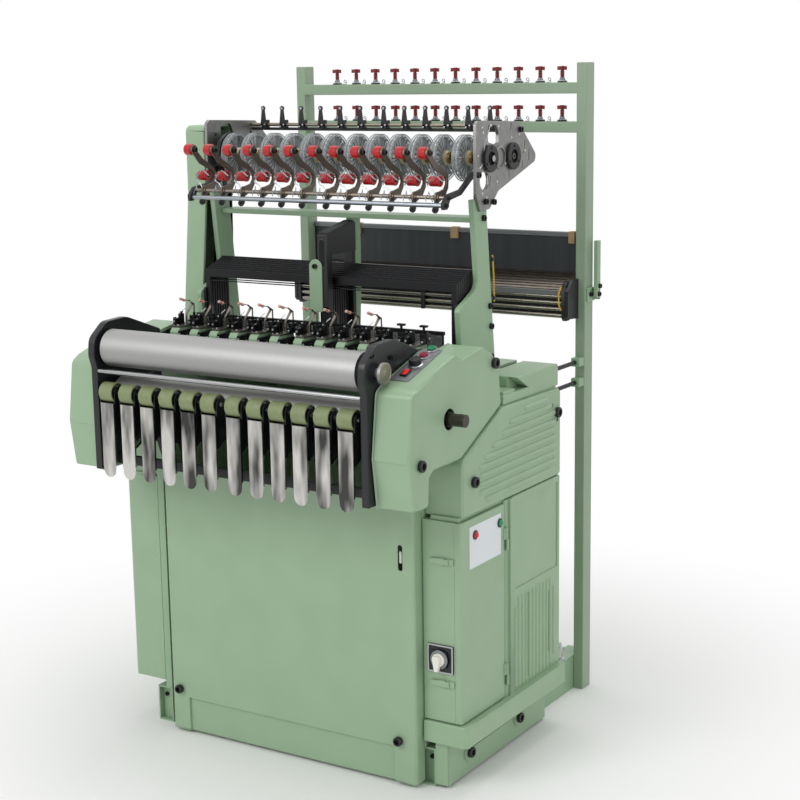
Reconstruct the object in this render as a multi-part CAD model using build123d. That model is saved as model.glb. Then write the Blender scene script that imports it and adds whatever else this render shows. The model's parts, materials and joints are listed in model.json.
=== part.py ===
from build123d import *
import math
import os

# A twelve-head narrow-fabric needle loom. Millimetres, +Z up, X along the rollers, the
# weaver stands at -Y. The origin is on the floor under the middle cross tube of the base.

# Heads: two groups of six with a wider gap at the middle guide
heads_per_side = 6
head_pitch = 65.0
middle_gap = 75.0

# Side frames: two thick plates, set apart by the heads and a margin at each end
end_margin = 35.5
head_reach = middle_gap / 2 + head_pitch * (heads_per_side - 1)
plate_inner = head_reach + end_margin
plate_thick = 22.0
plate_outer = plate_inner + plate_thick
body_back = 108.0
frame_top = 1000.0
joint_y = -410.0

# Base of welded rectangular tube
base_front = -425.0
base_back = 425.0
tube_width = 50.0
tube_height = 100.0
tube_wall = 4.0
base_half = plate_inner + tube_width
cross_tube_y = (-300.0, 0.0, 380.0)

# Casings round the body
casing_depth = 108.0
casing_x = plate_outer + casing_depth
casing_wall = 3.0
casing_top = 700.0
fit_gap = 0.4
floor_gap = 6.0

# Front panel
panel_front = -467.0
panel_left = 37.0 - plate_inner
panel_right = plate_inner + 19.0
panel_top = 745.0
skirt_height = 104.0
skirt_left = panel_left + 57.0
skirt_right = panel_right - 63.0
skirt_step = 7.0
finger_slot_x = panel_right - 39.0
finger_slot_width = 14.0

# Electrical cabinet and its side-hung door
door_depth = 18.0
cabinet_front = -430.0
cabinet_back = -205.0
cabinet_bottom = 180.0
cabinet_top = 694.0
sheet_wall = 2.0
hinge_radius = 4.5
hinge_length = 30.0
hinge_z = (240.0, 600.0)

# Roller cheeks and the front covers over the gearing at both ends
cheek_thick = 20.0
cheek_inner = plate_inner
cheek_outer = cheek_inner + cheek_thick
cover_depth = 100.0
cover_x = plate_outer + cover_depth
cover_wall = 3.5
seam_z = 887.0

# Rollers of the take-up
take_up_y = -615.0
take_up_z = 1084.0
take_up_radius = 47.5
take_up_half = cheek_inner - 13.0
nip_y = -586.6
nip_z = 966.0
nip_radius = 42.0
nip_half = cheek_inner - 20.0
press_y = -653.0
press_z = 977.0
press_radius = 25.0
press_width = 42.0
journal_radius = 12.0
run_fit = 0.05

# Release levers with their long stainless tongues
lever_shaft_y = -622.0
lever_shaft_z = 905.0
lever_shaft_radius = 10.0
tongue_y = -669.0
tongue_width = 44.0
tongue_tip_z = 757.0
tongue_sheet = 2.5

# Main shaft
main_y = -464.0
main_z = 957.0
main_radius = 17.0
stub_length = 45.0
main_end = cover_x + stub_length
stub_radius = 15.5

# Sley
sley_y = -262.0
rocker_z = 620.0
rocker_radius = 14.0

# Portal that carries the weft feeder
post_thick = 16.0
post_inner = plate_inner + 2.0
post_outer = post_inner + post_thick
beam_z = 1393.0
beam_depth = 65.0
beam_thick = 13.0

# Weft feeder
feeder_plate = 9.0
feeder_y = -92.0
feeder_z = 1546.0
second_y = 29.0
wheel_radius = 59.0
wheel_width = 16.0
feeder_shaft_radius = 8.0
upper_roller_y = -287.0
upper_roller_z = 1568.0
lower_roller_y = -225.0
lower_roller_z = 1496.0
front_rod_y = -250.0
front_rod_z = 1458.0
thread_rod_y = 45.0
thread_rod_z = 1622.0

# Heald frames
heald_count = 8
heald_pitch = 10.6
heald_thick = 8.6
heald_front = -212.0
heald_top = 1242.0
heald_step = 3.9
heald_half = plate_inner - 1.0
heald_height = 300.0
heald_lift = 24.0
heald_back = heald_front + heald_pitch * (heald_count - 1) + heald_thick
guide_back = heald_back + 20.2

# Rear rack
rack_width = 30.0
rack_depth = 50.0
rack_front = 356.0
rack_height = 1780.0
upper_bar_z = rack_height - 53.0
lower_bar_z = upper_bar_z - 105.0
bar_size = 30.0
tension_first_x = -340.0
tension_pitch = 67.1
tension_count = 12


def head_xs():
    """Centre lines of the twelve heads, left to right."""
    right = [middle_gap / 2 + head_pitch * k for k in range(heads_per_side)]
    return [-x for x in reversed(right)] + right


def block(x0, x1, y0, y1, z0, z1):
    return Pos((x0 + x1) / 2, (y0 + y1) / 2, (z0 + z1) / 2) * Box(x1 - x0, y1 - y0, z1 - z0)


def rod_x(radius, x0, x1, y, z):
    return Pos((x0 + x1) / 2, y, z) * Rot(0, 90, 0) * Cylinder(radius, x1 - x0)


def rod_y(radius, y0, y1, x, z):
    return Pos(x, (y0 + y1) / 2, z) * Rot(90, 0, 0) * Cylinder(radius, y1 - y0)


def rod_z(radius, z0, z1, x, y):
    return Pos(x, y, (z0 + z1) / 2) * Cylinder(radius, z1 - z0)


def outline(points, radii=0.0):
    """A closed face whose corners are rounded by one radius, or by a list of radii."""
    if isinstance(radii, (int, float)):
        radii = [radii] * len(points)
    face = make_face(Polyline(*points, close=True))
    for point, radius in zip(points, radii):
        if radius > 0:
            corner = face.vertices().sort_by_distance((point[0], point[1], 0))[0]
            face = fillet(corner, radius)
    return face


def side_plate(face, x0, x1):
    """Extrude a face drawn in (Y, Z) from x0 to x1."""
    return extrude(Plane.YZ.offset(x0) * face, x1 - x0)


def front_plate(face, y0, y1):
    """Extrude a face drawn in (X, Z) from y0 back to y1."""
    return extrude(Plane.XZ.offset(-y1) * face, y1 - y0)


def both_sides(shape):
    return [shape, mirror(shape, Plane.YZ)]


def save(name, shapes):
    if not isinstance(shapes, (list, tuple)):
        shapes = [shapes]
    solids = []
    for shape in shapes:
        solids += shape.solids()
    result = solids[0] if len(solids) == 1 else Compound(children=solids)
    export_step(result, f"parts/{name}.step")


os.makedirs("parts", exist_ok=True)
xs = head_xs()


# Base frame: two open-ended runners and three cross tubes, welded
def base_frame():
    runner = block(base_half - tube_width, base_half, base_front, base_back, 0, tube_height)
    hollow = block(
        base_half - tube_width + tube_wall,
        base_half - tube_wall,
        base_front - 1,
        base_back + 1,
        tube_wall,
        tube_height - tube_wall,
    )
    runner -= hollow
    frame = runner + mirror(runner, Plane.YZ)
    inner = base_half - tube_width
    for y in cross_tube_y:
        cross = block(-inner, inner, y - tube_width / 2, y + tube_width / 2, 0, tube_height)
        cross -= block(
            -inner,
            inner,
            y - tube_width / 2 + tube_wall,
            y + tube_width / 2 - tube_wall,
            tube_wall,
            tube_height - tube_wall,
        )
        frame += cross
    return frame


save("base_frame", base_frame())


# Side frames: cast plates with a lightening window, standing on the runners
frame_window = [(-370, 200), (20, 200), (20, 560), (-370, 560)]


def side_frame():
    points = [
        (base_front, tube_height),
        (body_back, tube_height),
        (body_back, 980),
        (-35, frame_top),
        (-230, frame_top),
        (-300, 1062),
        (joint_y, 1062),
        (joint_y, 880),
        (base_front, 860),
    ]
    face = outline(points, [0, 0, 0, 0, 0, 20, 0, 0, 0])
    face -= outline(frame_window, 40)
    face -= Pos(sley_y, rocker_z) * Circle(rocker_radius + run_fit)
    return side_plate(face, plate_inner, plate_outer)


save("side_frames", both_sides(side_frame()))


# Front panel: one pressed door-sized cover with folded sides and a set-back skirt
def front_panel():
    depth = base_front - panel_front - fit_gap
    face = outline(
        [
            (panel_left, floor_gap),
            (panel_right, floor_gap),
            (panel_right, panel_top),
            (panel_left, panel_top),
        ],
        [0, 0, 8, 8],
    )
    panel = front_plate(face, panel_front, panel_front + depth)
    hollow = block(
        panel_left + casing_wall,
        panel_right - casing_wall,
        panel_front + casing_wall,
        panel_front + depth + 1,
        floor_gap + casing_wall,
        panel_top - casing_wall,
    )
    step = block(skirt_left, skirt_right, panel_front - 1, panel_front + skirt_step, 0, skirt_height)
    keep = block(
        skirt_left - casing_wall,
        skirt_right + casing_wall,
        panel_front,
        panel_front + skirt_step + casing_wall,
        floor_gap,
        skirt_height + casing_wall,
    )
    slot_x = (finger_slot_x - finger_slot_width / 2, finger_slot_x + finger_slot_width / 2)
    slot_face = outline([(slot_x[0], 564), (slot_x[1], 564), (slot_x[1], 630), (slot_x[0], 630)], 6.5)
    slot = front_plate(slot_face, panel_front - 1, panel_front + 20)
    return panel - (hollow - keep) - step - slot


save("front_panel", front_panel())


# Roller cheeks: black cast plates that carry the take-up rollers ahead of the side frames
cheek_points = [
    (-662, 772),
    (-662, 1036),
    (-672, 1068),
    (-668, 1112),
    (-618, 1150),
    (-540, 1153),
    (joint_y, 1104),
    (joint_y, 880),
    (-470, 845),
    (-615, 772),
]
cheek_corner_radii = [0, 0, 30, 34, 34, 60, 0, 0, 40, 0]


def roller_cheek():
    face = outline(cheek_points, cheek_corner_radii)
    for y, z, radius in (
        (take_up_y, take_up_z, journal_radius),
        (nip_y, nip_z, journal_radius),
        (main_y, main_z, main_radius),
    ):
        face -= Pos(y, z) * Circle(radius + run_fit)
    return side_plate(face, cheek_inner, cheek_outer)


save("roller_cheeks", both_sides(roller_cheek()))


# Front covers: moulded shells, open towards the cheeks
cover_points = [
    (-631, 764),
    (-648, seam_z),
    (-628, 1040),
    (-604, 1054),
    (-430, 1108),
    (-399, 1090),
    (-297, 1106),
    (-247, 1084),
    (-215, 1031),
    (-204, 946),
    (-408, 847),
    (-536, 847),
    (-556, 832),
    (-560, 764),
]
cover_corner_radii = [0, 0, 20, 0, 16, 16, 24, 34, 30, 0, 0, 0, 0, 0]
cover_inner = plate_outer + fit_gap
seam_drop = 4.0
cover_edge = 6.0


def front_cover_shell():
    face = outline(cover_points, cover_corner_radii)
    shell = side_plate(face, cover_inner, cover_x)
    rim = shell.faces().sort_by(Axis.X)[-1].edges()
    shell = chamfer(rim, cover_edge)
    shell -= side_plate(offset(face, -cover_wall), cover_inner - 1, cover_x - cover_wall)
    return shell


shell = front_cover_shell()
right_cover = shell - rod_x(26, cover_inner - 5, cover_x + 10, main_y, main_z)
seam = block(cover_inner - 1, cover_x + 5, -660, -600, 764 - 20, seam_z - seam_drop) - side_plate(
    offset(outline(cover_points, cover_corner_radii), -1.6), cover_inner - 2, cover_x + 6
)
save("right_front_cover", right_cover - seam)
save("left_front_cover", mirror(shell - seam, Plane.YZ))


# Louvred covers behind the front covers, one each side, with long raised ribs
louvre_points = [(-417, 702), (-417, 842), (-206, 941), (body_back, 937), (body_back, 702)]
louvre_count = 10
louvre_first_z = 727.0
louvre_pitch = 21.3
louvre_inset_front = 76.0
louvre_inset_back = 16.0
louvre_edge = 5.0
rib_proud = 4.0
rib_width = 9.5


def louvre_front(z):
    """Y of the cover's front outline at height z."""
    (y_low, z_low), (y_high, z_high) = louvre_points[1], louvre_points[2]
    if z <= z_low:
        return y_low
    return y_low + (z - z_low) * (y_high - y_low) / (z_high - z_low)


def raised_rib(y0, y1, z0, z1):
    """A pressed rib standing proud of the casing, its four outer edges sloped."""
    rib = block(casing_x - 1, casing_x + rib_proud, y0, y1, z0, z1)
    return chamfer(rib.faces().sort_by(Axis.X)[-1].edges(), rib_proud - 0.5)


def louvred_cover():
    face = outline(louvre_points, [0, 22, 0, 14, 0])
    shell = side_plate(face, cover_inner, casing_x)
    shell = chamfer(shell.faces().sort_by(Axis.X)[-1].edges(), louvre_edge)
    shell -= side_plate(offset(face, -casing_wall), cover_inner - 1, casing_x - casing_wall)
    for k in range(louvre_count):
        z = louvre_first_z + louvre_pitch * k
        end_step = 26 if k in (0, louvre_count - 1) else 0
        front = louvre_front(z + 20) + louvre_inset_front + end_step
        back = body_back - louvre_inset_back - end_step - (30 if k > louvre_count - 4 else 0)
        shell += raised_rib(front, back, z - rib_width / 2, z + rib_width / 2)
    return shell


louvred = louvred_cover()
save("louvred_covers", both_sides(louvred))


# Upper rear housings: the closed ends of the body, with the loom table between them
table_front = guide_back + 5.0
table_thick = 6.0
housing_z = (943.0, frame_top + 1.0)
shelf_z = 966.0
table_z = housing_z[1] - table_thick - 0.4


def rear_housing():
    """A low shelf in front and a raised box behind, joined by a face that leans forward."""
    face = outline(
        [
            (-196, housing_z[0]),
            (body_back, housing_z[0]),
            (body_back, housing_z[1]),
            (-122, housing_z[1]),
            (-60, shelf_z),
            (-196, shelf_z),
        ],
        [0, 0, 8, 0, 0, 0],
    )
    wall = side_plate(face, cover_inner, cover_x)
    return wall - side_plate(offset(face, -casing_wall), cover_inner - 1, cover_x - casing_wall)


def body_panels():
    """Loom table behind the heads and the closed rear of the body."""
    table = block(-plate_inner, plate_inner, table_front, body_back, table_z, table_z + table_thick)
    back_y = (body_back - casing_wall, body_back)
    back = block(-plate_inner, plate_inner, *back_y, tube_height + 4, table_z - 0.4)
    return [table, back]


save("rear_housings", both_sides(rear_housing()) + body_panels())


# Left casing: lower left side of the body
casing_bottom = 119.0


def left_casing():
    outer = block(-casing_x, -cover_inner, base_front, body_back, casing_bottom, casing_top)
    outer = fillet(outer.edges().filter_by(Axis.Z).group_by(Axis.X)[0], 14)
    hollow = block(
        -casing_x + casing_wall,
        -cover_inner + 1,
        base_front + casing_wall,
        body_back - casing_wall,
        casing_bottom + casing_wall,
        casing_top - casing_wall,
    )
    return outer - hollow


save("left_casing", left_casing())


# Right casing: moulded, with a ledge under the cabinet, a skirt with scooped screw seats,
# a recessed upper panel and upright ribs
ledge_x = casing_x + 20.0
ledge_top = 177.0
skirt_x = base_half + 35.0
rib_count = 12
rib_pitch = 17.5
rib_first_y = -150.0
scoop_y = (-320.0, -55.0)
column_y = -187.0
scoop_z = 62.0
hinge_x = casing_x + 3.0
hinge_y = cabinet_back + 1.4
hinge_gap = 0.3


def right_casing():
    wall_y = cabinet_back + fit_gap
    upper = block(cover_inner, casing_x, wall_y, body_back, ledge_top, casing_top)
    upper = chamfer(upper.edges().filter_by(Axis.Z).group_by(Axis.X)[-1], 5)
    upper -= block(
        cover_inner - 1,
        casing_x - casing_wall - 3,
        wall_y + casing_wall,
        body_back - casing_wall,
        ledge_top - 1,
        casing_top - casing_wall,
    )
    column = block(casing_x - 1, casing_x + 6, column_y, column_y + 20, ledge_top, casing_top)
    upper += column
    upper -= block(casing_x - 2.5, casing_x + 2, -150, 90, 452, 684)
    for k in range(rib_count):
        short = 30 if k in (0, rib_count - 1) else 0
        y = rib_first_y + rib_pitch * k
        upper += raised_rib(y - rib_width / 2, y + rib_width / 2, 195 + short, 425 - short)
    ledge_front = cabinet_front - 7
    ledge = block(cover_inner, ledge_x, ledge_front, body_back, 122, ledge_top)
    ledge = chamfer(ledge.edges().filter_by(Axis.Z).group_by(Axis.X)[-1], 8)
    ledge = chamfer(ledge.faces().sort_by(Axis.Z)[-1].edges().filter_by(Axis.Y), 4)
    ledge -= block(
        cover_inner - 1,
        ledge_x - casing_wall,
        ledge_front + casing_wall,
        body_back - casing_wall,
        121,
        ledge_top - 5,
    )
    ledge -= block(
        cover_inner - 1,
        casing_x - casing_wall - 3,
        wall_y + casing_wall,
        body_back - casing_wall,
        ledge_top - 6,
        ledge_top + 1,
    )
    skirt = block(base_half + fit_gap, skirt_x, base_front, body_back, floor_gap, 124)
    skirt -= block(
        base_half,
        skirt_x - casing_wall,
        base_front + casing_wall,
        body_back - casing_wall,
        floor_gap - 1,
        125,
    )
    rim = block(skirt_x - casing_wall, ledge_x - 1, base_front, body_back, 122, 122 + casing_wall)
    result = upper + ledge + skirt + rim
    for y in scoop_y:
        result += rod_x(24, skirt_x - 1, skirt_x + 4, y, scoop_z)
    for z in hinge_z:
        result += block(casing_x, casing_x + 7.5, hinge_y - 1, hinge_y + 7.6, z - hinge_length, z - hinge_gap)
    return result


save("right_casing", right_casing())


# Cabinet: folded steel box, open on the side that the door closes
box_right = casing_x - door_depth - fit_gap


def cabinet_box():
    box = block(cover_inner, box_right, cabinet_front, cabinet_back, cabinet_bottom, cabinet_top)
    return box - block(
        cover_inner + sheet_wall,
        box_right + 1,
        cabinet_front + sheet_wall,
        cabinet_back - sheet_wall,
        cabinet_bottom + sheet_wall,
        cabinet_top - sheet_wall,
    )


save("cabinet_box", cabinet_box())


def cabinet_door():
    tray = block(
        box_right + fit_gap, casing_x, cabinet_front, cabinet_back - 1.5, cabinet_bottom + 1, cabinet_top - 1
    )
    tray = chamfer(tray.edges().filter_by(Axis.Z).group_by(Axis.X)[-1], 4)
    tray -= block(
        box_right,
        casing_x - sheet_wall,
        cabinet_front + sheet_wall,
        cabinet_back - 1.5 - sheet_wall,
        cabinet_bottom + 1 + sheet_wall,
        cabinet_top - 1 - sheet_wall,
    )
    for z in hinge_z:
        tray += block(casing_x - 1, hinge_x, hinge_y - 10, hinge_y - 1, z, z + hinge_length)
        tray += rod_z(hinge_radius, z, z + hinge_length, hinge_x, hinge_y)
    return tray


save("cabinet_door", cabinet_door())


# Switch gear on the cabinet front and the desk on the right cover
switch_centre = (box_right - 39.6, 344.0)
switch_plate_size = 72.0
desk_x = (plate_outer + 4.0, plate_outer + 58.0)
desk_y = (-578.0, -420.0)
desk_angle = math.degrees(math.atan2(1108 - 1054, -430 + 604))
desk_thick = 2.0


def desk_z(y):
    """Height of the sloping top of the right front cover at y."""
    return 1054 + (y + 604) * math.tan(math.radians(desk_angle))


def on_desk(x, y, height=0.0):
    """Seat a shape on the sloping desk plate, its own +Z square to the slope."""
    return Pos(x, y, desk_z(y)) * Rot(desk_angle, 0, 0) * Pos(0, 0, height)


def switch_plate():
    x, z = switch_centre
    half = switch_plate_size / 2
    plate = block(x - half, x + half, cabinet_front - 4 - 0.3, cabinet_front - 0.3, z - half, z + half)
    collar = block(x - 20, x + 20, cabinet_front - 10, cabinet_front - 4, z - 20, z + 20)
    return plate + collar - rod_y(6.1, cabinet_front - 11, cabinet_front, x, z)


save("switch_plate", switch_plate())


def switch_knob():
    x, z = switch_centre
    lever = make_face(
        Polyline(
            (x - 5, z - 27),
            (x + 5, z - 27),
            (x + 9, z - 4),
            (x + 9, z + 12),
            (x - 9, z + 12),
            (x - 9, z - 4),
            close=True,
        )
    )
    grip = front_plate(lever, cabinet_front - 28, cabinet_front - 17)
    disc = rod_y(17, cabinet_front - 18, cabinet_front - 10.3, x, z)
    return grip + disc + rod_y(6, cabinet_front - 11, cabinet_front - 2, x, z)


save("switch_knob", switch_knob())


def toggle_latches():
    """Two draw latches, each a base plate, a lever and a hook plate by the door edge."""
    shapes = []
    for z in (594.0, 281.0):
        y = cabinet_front - 0.3
        tail = box_right - 67
        root = box_right - 26
        base = block(box_right - 22, box_right - 1, y - 4, y, z - 8, z + 8)
        face = make_face(
            Polyline(
                (tail, z - 3),
                (tail + 4, z - 6),
                (root, z - 9),
                (root, z + 9),
                (tail + 4, z + 6),
                (tail, z + 3),
                close=True,
            )
        )
        lever = front_plate(face, y - 7, y - 3)
        bridge = block(root - 1, box_right - 14, y - 8, y - 3, z - 7, z + 7)
        shapes.append(base + lever + bridge)
    return shapes


save("toggle_latches", toggle_latches())

button_radius = 10.5
button_travel = 3.0
rocker_y = -545.0
rocker_pivot = 2.6
speed_y = -500.0
stop_y = -461.0
start_y = -426.0
bezel_radius = 14.5
bezel_height = 7.0
desk_centre_x = (desk_x[0] + desk_x[1]) / 2


def desk_plate():
    length = (desk_y[1] - desk_y[0]) / math.cos(math.radians(desk_angle))
    middle = (desk_y[0] + desk_y[1]) / 2
    sheet = Box(desk_x[1] - desk_x[0], length, desk_thick)
    plate = on_desk(desk_centre_x, middle, 0.3 + desk_thick / 2) * sheet
    for y in (stop_y, start_y):
        plate += on_desk(desk_centre_x, y, 0.3 + bezel_height / 2) * Cylinder(bezel_radius, bezel_height)
        plate -= on_desk(desk_centre_x, y, 6) * Cylinder(button_radius + 0.3, 12)
    plate -= on_desk(desk_centre_x, rocker_y, 3) * Box(13.8, 23.6, 12)
    return plate


save("desk_plate", desk_plate())


def push_button(y):
    return on_desk(desk_centre_x, y, button_travel + 4.4) * Cylinder(button_radius, 8)


save("stop_button", push_button(stop_y))
save("start_button", push_button(start_y))


def speed_knob():
    top = desk_thick + 0.6
    grip = on_desk(desk_centre_x, speed_y, top + 8) * Cylinder(15, 16)
    mark = on_desk(desk_centre_x, speed_y, top + 15.5) * Pos(0, -11, 0) * Box(1.6, 6, 1.2)
    return grip - mark


save("speed_knob", speed_knob())


def rocker_switch():
    points = [(-11.2, 3.2), (0, 0.6), (11.2, 3.2), (11.2, 8.6), (0, 5.6), (-11.2, 5.6)]
    face = make_face(Polyline(*points, close=True))
    body = extrude(Plane.YZ * face, 5.8, both=True)
    pivot = Pos(0, 0, rocker_pivot) * Rot(0, 90, 0) * Cylinder(2.2, 13.2)
    return on_desk(desk_centre_x, rocker_y) * (body + pivot)


save("rocker_switch", rocker_switch())


# Take-up rollers
def take_up_roller():
    roller = rod_x(take_up_radius, -take_up_half, take_up_half, take_up_y, take_up_z)
    shaft = rod_x(journal_radius, -cheek_outer, cheek_outer + 22, take_up_y, take_up_z)
    disc = rod_x(26, cheek_outer + 14, cheek_outer + 22, take_up_y, take_up_z)
    return roller + shaft + disc


def nip_roller():
    roller = rod_x(nip_radius, -nip_half, nip_half, nip_y, nip_z)
    return roller + rod_x(journal_radius, -cheek_outer, cheek_outer, nip_y, nip_z)


save("take_up_roller", take_up_roller())
save("nip_roller", nip_roller())


def press_roller(x):
    return rod_x(press_radius, x - press_width / 2, x + press_width / 2, press_y, press_z)


save("press_rollers", [press_roller(x) for x in xs])


# Release levers: two saddle arms and a long steel tongue for each press roller
lever_arm = 4.0
roller_play = 0.4


def lever_arm_face():
    """Side view of one arm: it holds the roller at the top and straddles the shaft."""
    near = lever_shaft_radius + 0.3
    y, z = lever_shaft_y, lever_shaft_z
    points = [
        (tongue_y, z - 36),
        (tongue_y, press_z - 26),
        (press_y, press_z + 12),
        (y + 14, z + 14),
        (y + 17, z - 17),
        (y + near, z - 17),
        (y + near, z + near),
        (y - near, z + near),
        (y - near, z - 17),
    ]
    return make_face(Polyline(*points, close=True))


def release_lever(x):
    half = press_width / 2 + roller_play
    arm = side_plate(lever_arm_face(), x + half, x + half + lever_arm)
    lever = arm + Pos(-2 * half - lever_arm, 0, 0) * arm
    tip = tongue_width / 2
    top = press_z - 26
    cut = tip * 0.6
    sheet = make_face(
        Polyline(
            (x - tip + cut, tongue_tip_z),
            (x + tip - cut, tongue_tip_z),
            (x + tip, tongue_tip_z + cut),
            (x + tip, top),
            (x - tip, top),
            (x - tip, tongue_tip_z + cut),
            close=True,
        )
    )
    web = block(x - half - lever_arm, x + half + lever_arm, tongue_y, tongue_y + 4, lever_shaft_z - 36, top)
    return lever + web + front_plate(sheet, tongue_y - tongue_sheet, tongue_y)


save("release_levers", [release_lever(x) for x in xs])


# Bars between the cheeks: guide rod, lever shaft and the dark stop bar behind the tongues
guide_rod_z = 1029.0
stop_bar_y = (-600.0, -588.0)
stop_bar_z = (tongue_tip_z + 19.0, tongue_tip_z + 43.0)


def cheek_bars():
    guide = rod_x(6, -cheek_inner, cheek_inner, press_y - 2, guide_rod_z)
    shaft = rod_x(lever_shaft_radius, -cheek_inner, cheek_inner, lever_shaft_y, lever_shaft_z)
    stop = block(-cheek_inner, cheek_inner, *stop_bar_y, *stop_bar_z)
    return [guide, shaft, stop]


save("cheek_bars", cheek_bars())


# Main shaft across the machine, with the belt pulley at the left and a hand-crank stub at the right
pulley_x = (3.0 - plate_inner, 21.0 - plate_inner)
pulley_radius = 34.0
motor_y = -195.0
motor_z = 250.0
motor_radius = 62.0
motor_x = (42.0 - plate_inner, 222.0 - plate_inner)
belt_thick = 5.0
plate_top = tube_height + 8.0


def main_shaft():
    shaft = rod_x(main_radius, -cheek_outer, cover_x + 1, main_y, main_z)
    shaft += rod_x(pulley_radius, *pulley_x, main_y, main_z)
    shaft += rod_x(stub_radius, cover_x, main_end, main_y, main_z)
    shaft -= rod_z(4, main_z - 30, main_z + 30, main_end - 12, main_y)
    return shaft


save("main_shaft", main_shaft())


# Motor on its plate across two cross tubes, its pulley and the drive belt
def motor_pulley():
    wheel = rod_x(pulley_radius, *pulley_x, motor_y, motor_z)
    return wheel + rod_x(9, pulley_x[1], motor_x[0] - 0.5, motor_y, motor_z)


def motor():
    body = rod_x(motor_radius, *motor_x, motor_y, motor_z)
    foot = block(motor_x[0] + 25, motor_x[1] - 25, motor_y - 55, motor_y + 55, plate_top, motor_z - 35)
    box = block(motor_x[0] + 50, motor_x[1] - 50, motor_y - 45, motor_y + 45, motor_z + 30, motor_z + 82)
    return body + foot + box


def drive_belt():
    """A closed loop round the two equal pulleys, 0.3 mm clear of both."""
    span = math.hypot(main_y - motor_y, main_z - motor_z)
    lean = math.degrees(math.atan2(main_z - motor_z, main_y - motor_y))
    inside = pulley_radius + 0.3
    outer = SlotCenterToCenter(span, 2 * (inside + belt_thick))
    loop = outer - SlotCenterToCenter(span, 2 * inside)
    middle = Pos((main_y + motor_y) / 2, (main_z + motor_z) / 2) * Rot(0, 0, lean) * loop
    return side_plate(middle, pulley_x[0] + 1, pulley_x[1] - 1)


save("motor_pulley", motor_pulley())
motor_plate_y = (cross_tube_y[0] - 25, cross_tube_y[1] + 25)
motor_plate = block(motor_x[0] - 14, motor_x[1] + 26, *motor_plate_y, tube_height, plate_top)
save("motor", motor() + motor_plate)
save("drive_belt", drive_belt())

# Weaving heads: green blocks on the breast beam, each with its plate and clamp
breast_front = -372.0
breast_back = -322.0
breast_top = 1060.0
breast_bottom = breast_top - 56.0
head_front = -398.0
head_width = 26.0
head_top = breast_top + 44.0
head_plate_thick = 6.0
head_plate_width = 30.0
clamp_top = head_top + 33.0
raised_feelers = 9


def breast_beam():
    beam = block(-plate_inner, plate_inner, breast_front, breast_back, breast_bottom, breast_top)
    nose = [
        (head_front, breast_top + 12),
        (head_front, head_top - 10),
        (head_front + 8, head_top),
        (breast_back, head_top),
        (breast_back, breast_top - 1),
        (breast_front, breast_top - 1),
    ]
    face = make_face(Polyline(*nose, close=True))
    for x in xs:
        beam += side_plate(face, x - head_width / 2, x + head_width / 2)
    return beam


def head_plate(x):
    half = head_plate_width / 2
    return block(x - half, x + half, head_front + 14, -314, head_top, head_top + head_plate_thick)


def feeler_arm(x):
    """Bent steel arm that feels the weft thread above its head."""
    points = [(-332, 16), (-323, 16), (-321, -8), (-338, -50), (-346, -44), (-330, -6)]
    face = make_face(Polyline(*[(y, clamp_top - dz) for y, dz in points], close=True))
    return side_plate(face, x + 10, x + 13)


def head_clamp(x):
    low = head_top + head_plate_thick
    points = [(-346, low), (-346, clamp_top - 9), (-338, clamp_top), (-324, clamp_top), (-318, low)]
    return side_plate(make_face(Polyline(*points, close=True)), x - 11, x + 11)


save("breast_beam", breast_beam())

def head_fittings(number, x):
    fittings = head_plate(x) + head_clamp(x)
    return fittings + feeler_arm(x) if number < raised_feelers else fittings


save("head_clamps", [head_fittings(number, x) for number, x in enumerate(xs)])

# Sley: swords, beam and one reed for each head, swinging about the rocker shaft below
sword_x = plate_inner - 32.0
sley_beam_z = (1022.0, 1052.0)
reed_top = 1142.0
reed_width = 50.0


def sley():
    beam = block(-sword_x - 12, sword_x + 12, sley_y - 7, sley_y + 7, *sley_beam_z)
    for side in (-1, 1):
        x = side * sword_x
        beam += block(x - 6, x + 6, sley_y - 7, sley_y + 7, rocker_z, sley_beam_z[0] + 1)
    beam += rod_x(rocker_radius, -plate_outer, plate_outer, sley_y, rocker_z)
    for x in xs:
        reed_x = (x - reed_width / 2, x + reed_width / 2)
        beam += block(*reed_x, sley_y - 4, sley_y + 4, sley_beam_z[1] - 1, reed_top)
    return beam


save("sley", sley())

# Heald frames: eight light frames, each stepped a little higher than the one in front
rail = 22.0
leg = 16.0
centre_leg = 18.0
guide_width = 30.0


def heald_front_y(k):
    return heald_front + heald_pitch * k


def heald_frame(k):
    top = heald_top + heald_step * k
    bottom = heald_top - heald_height
    y = heald_front_y(k)
    frame = block(-heald_half, heald_half, y, y + heald_thick, bottom, top)
    for x0, x1 in ((-heald_half + leg, -centre_leg), (centre_leg, heald_half - leg)):
        frame -= block(x0, x1, y - 1, y + heald_thick + 1, bottom + rail, top - rail)
    return frame


for k in range(heald_count):
    save(f"heald_frame_{k + 1}", heald_frame(k))

# Tie bars, end combs and the black centre guide that steer the heald frames
tie_top = 996.0
tie_bottom = 968.0
front_tie_y = (heald_front - 20.0, heald_front - 4.0)
rear_tie_y = (guide_back - 16.0, guide_back)
comb_z = (frame_top + 0.5, 1190.0)
comb_depth = 7.0
tooth_clearance = 0.4
guide_x = (0.0, 30.0)
guide_front = -245.0


def heald_ties():
    return [block(-plate_inner, plate_inner, *y, tie_bottom, tie_top) for y in (front_tie_y, rear_tie_y)]


def heald_comb():
    """A guide strip whose notches hold the frame ends apart."""
    low, high = heald_front - 6, heald_back + 6
    strip = block(post_inner - comb_depth, post_inner, low, high, *comb_z)
    for k in range(heald_count):
        y = heald_front_y(k)
        strip -= block(
            post_inner - comb_depth - 1,
            heald_half + tooth_clearance,
            y - tooth_clearance,
            y + heald_thick + tooth_clearance,
            comb_z[0] - 1,
            comb_z[1] + 1,
        )
    return strip


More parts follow.
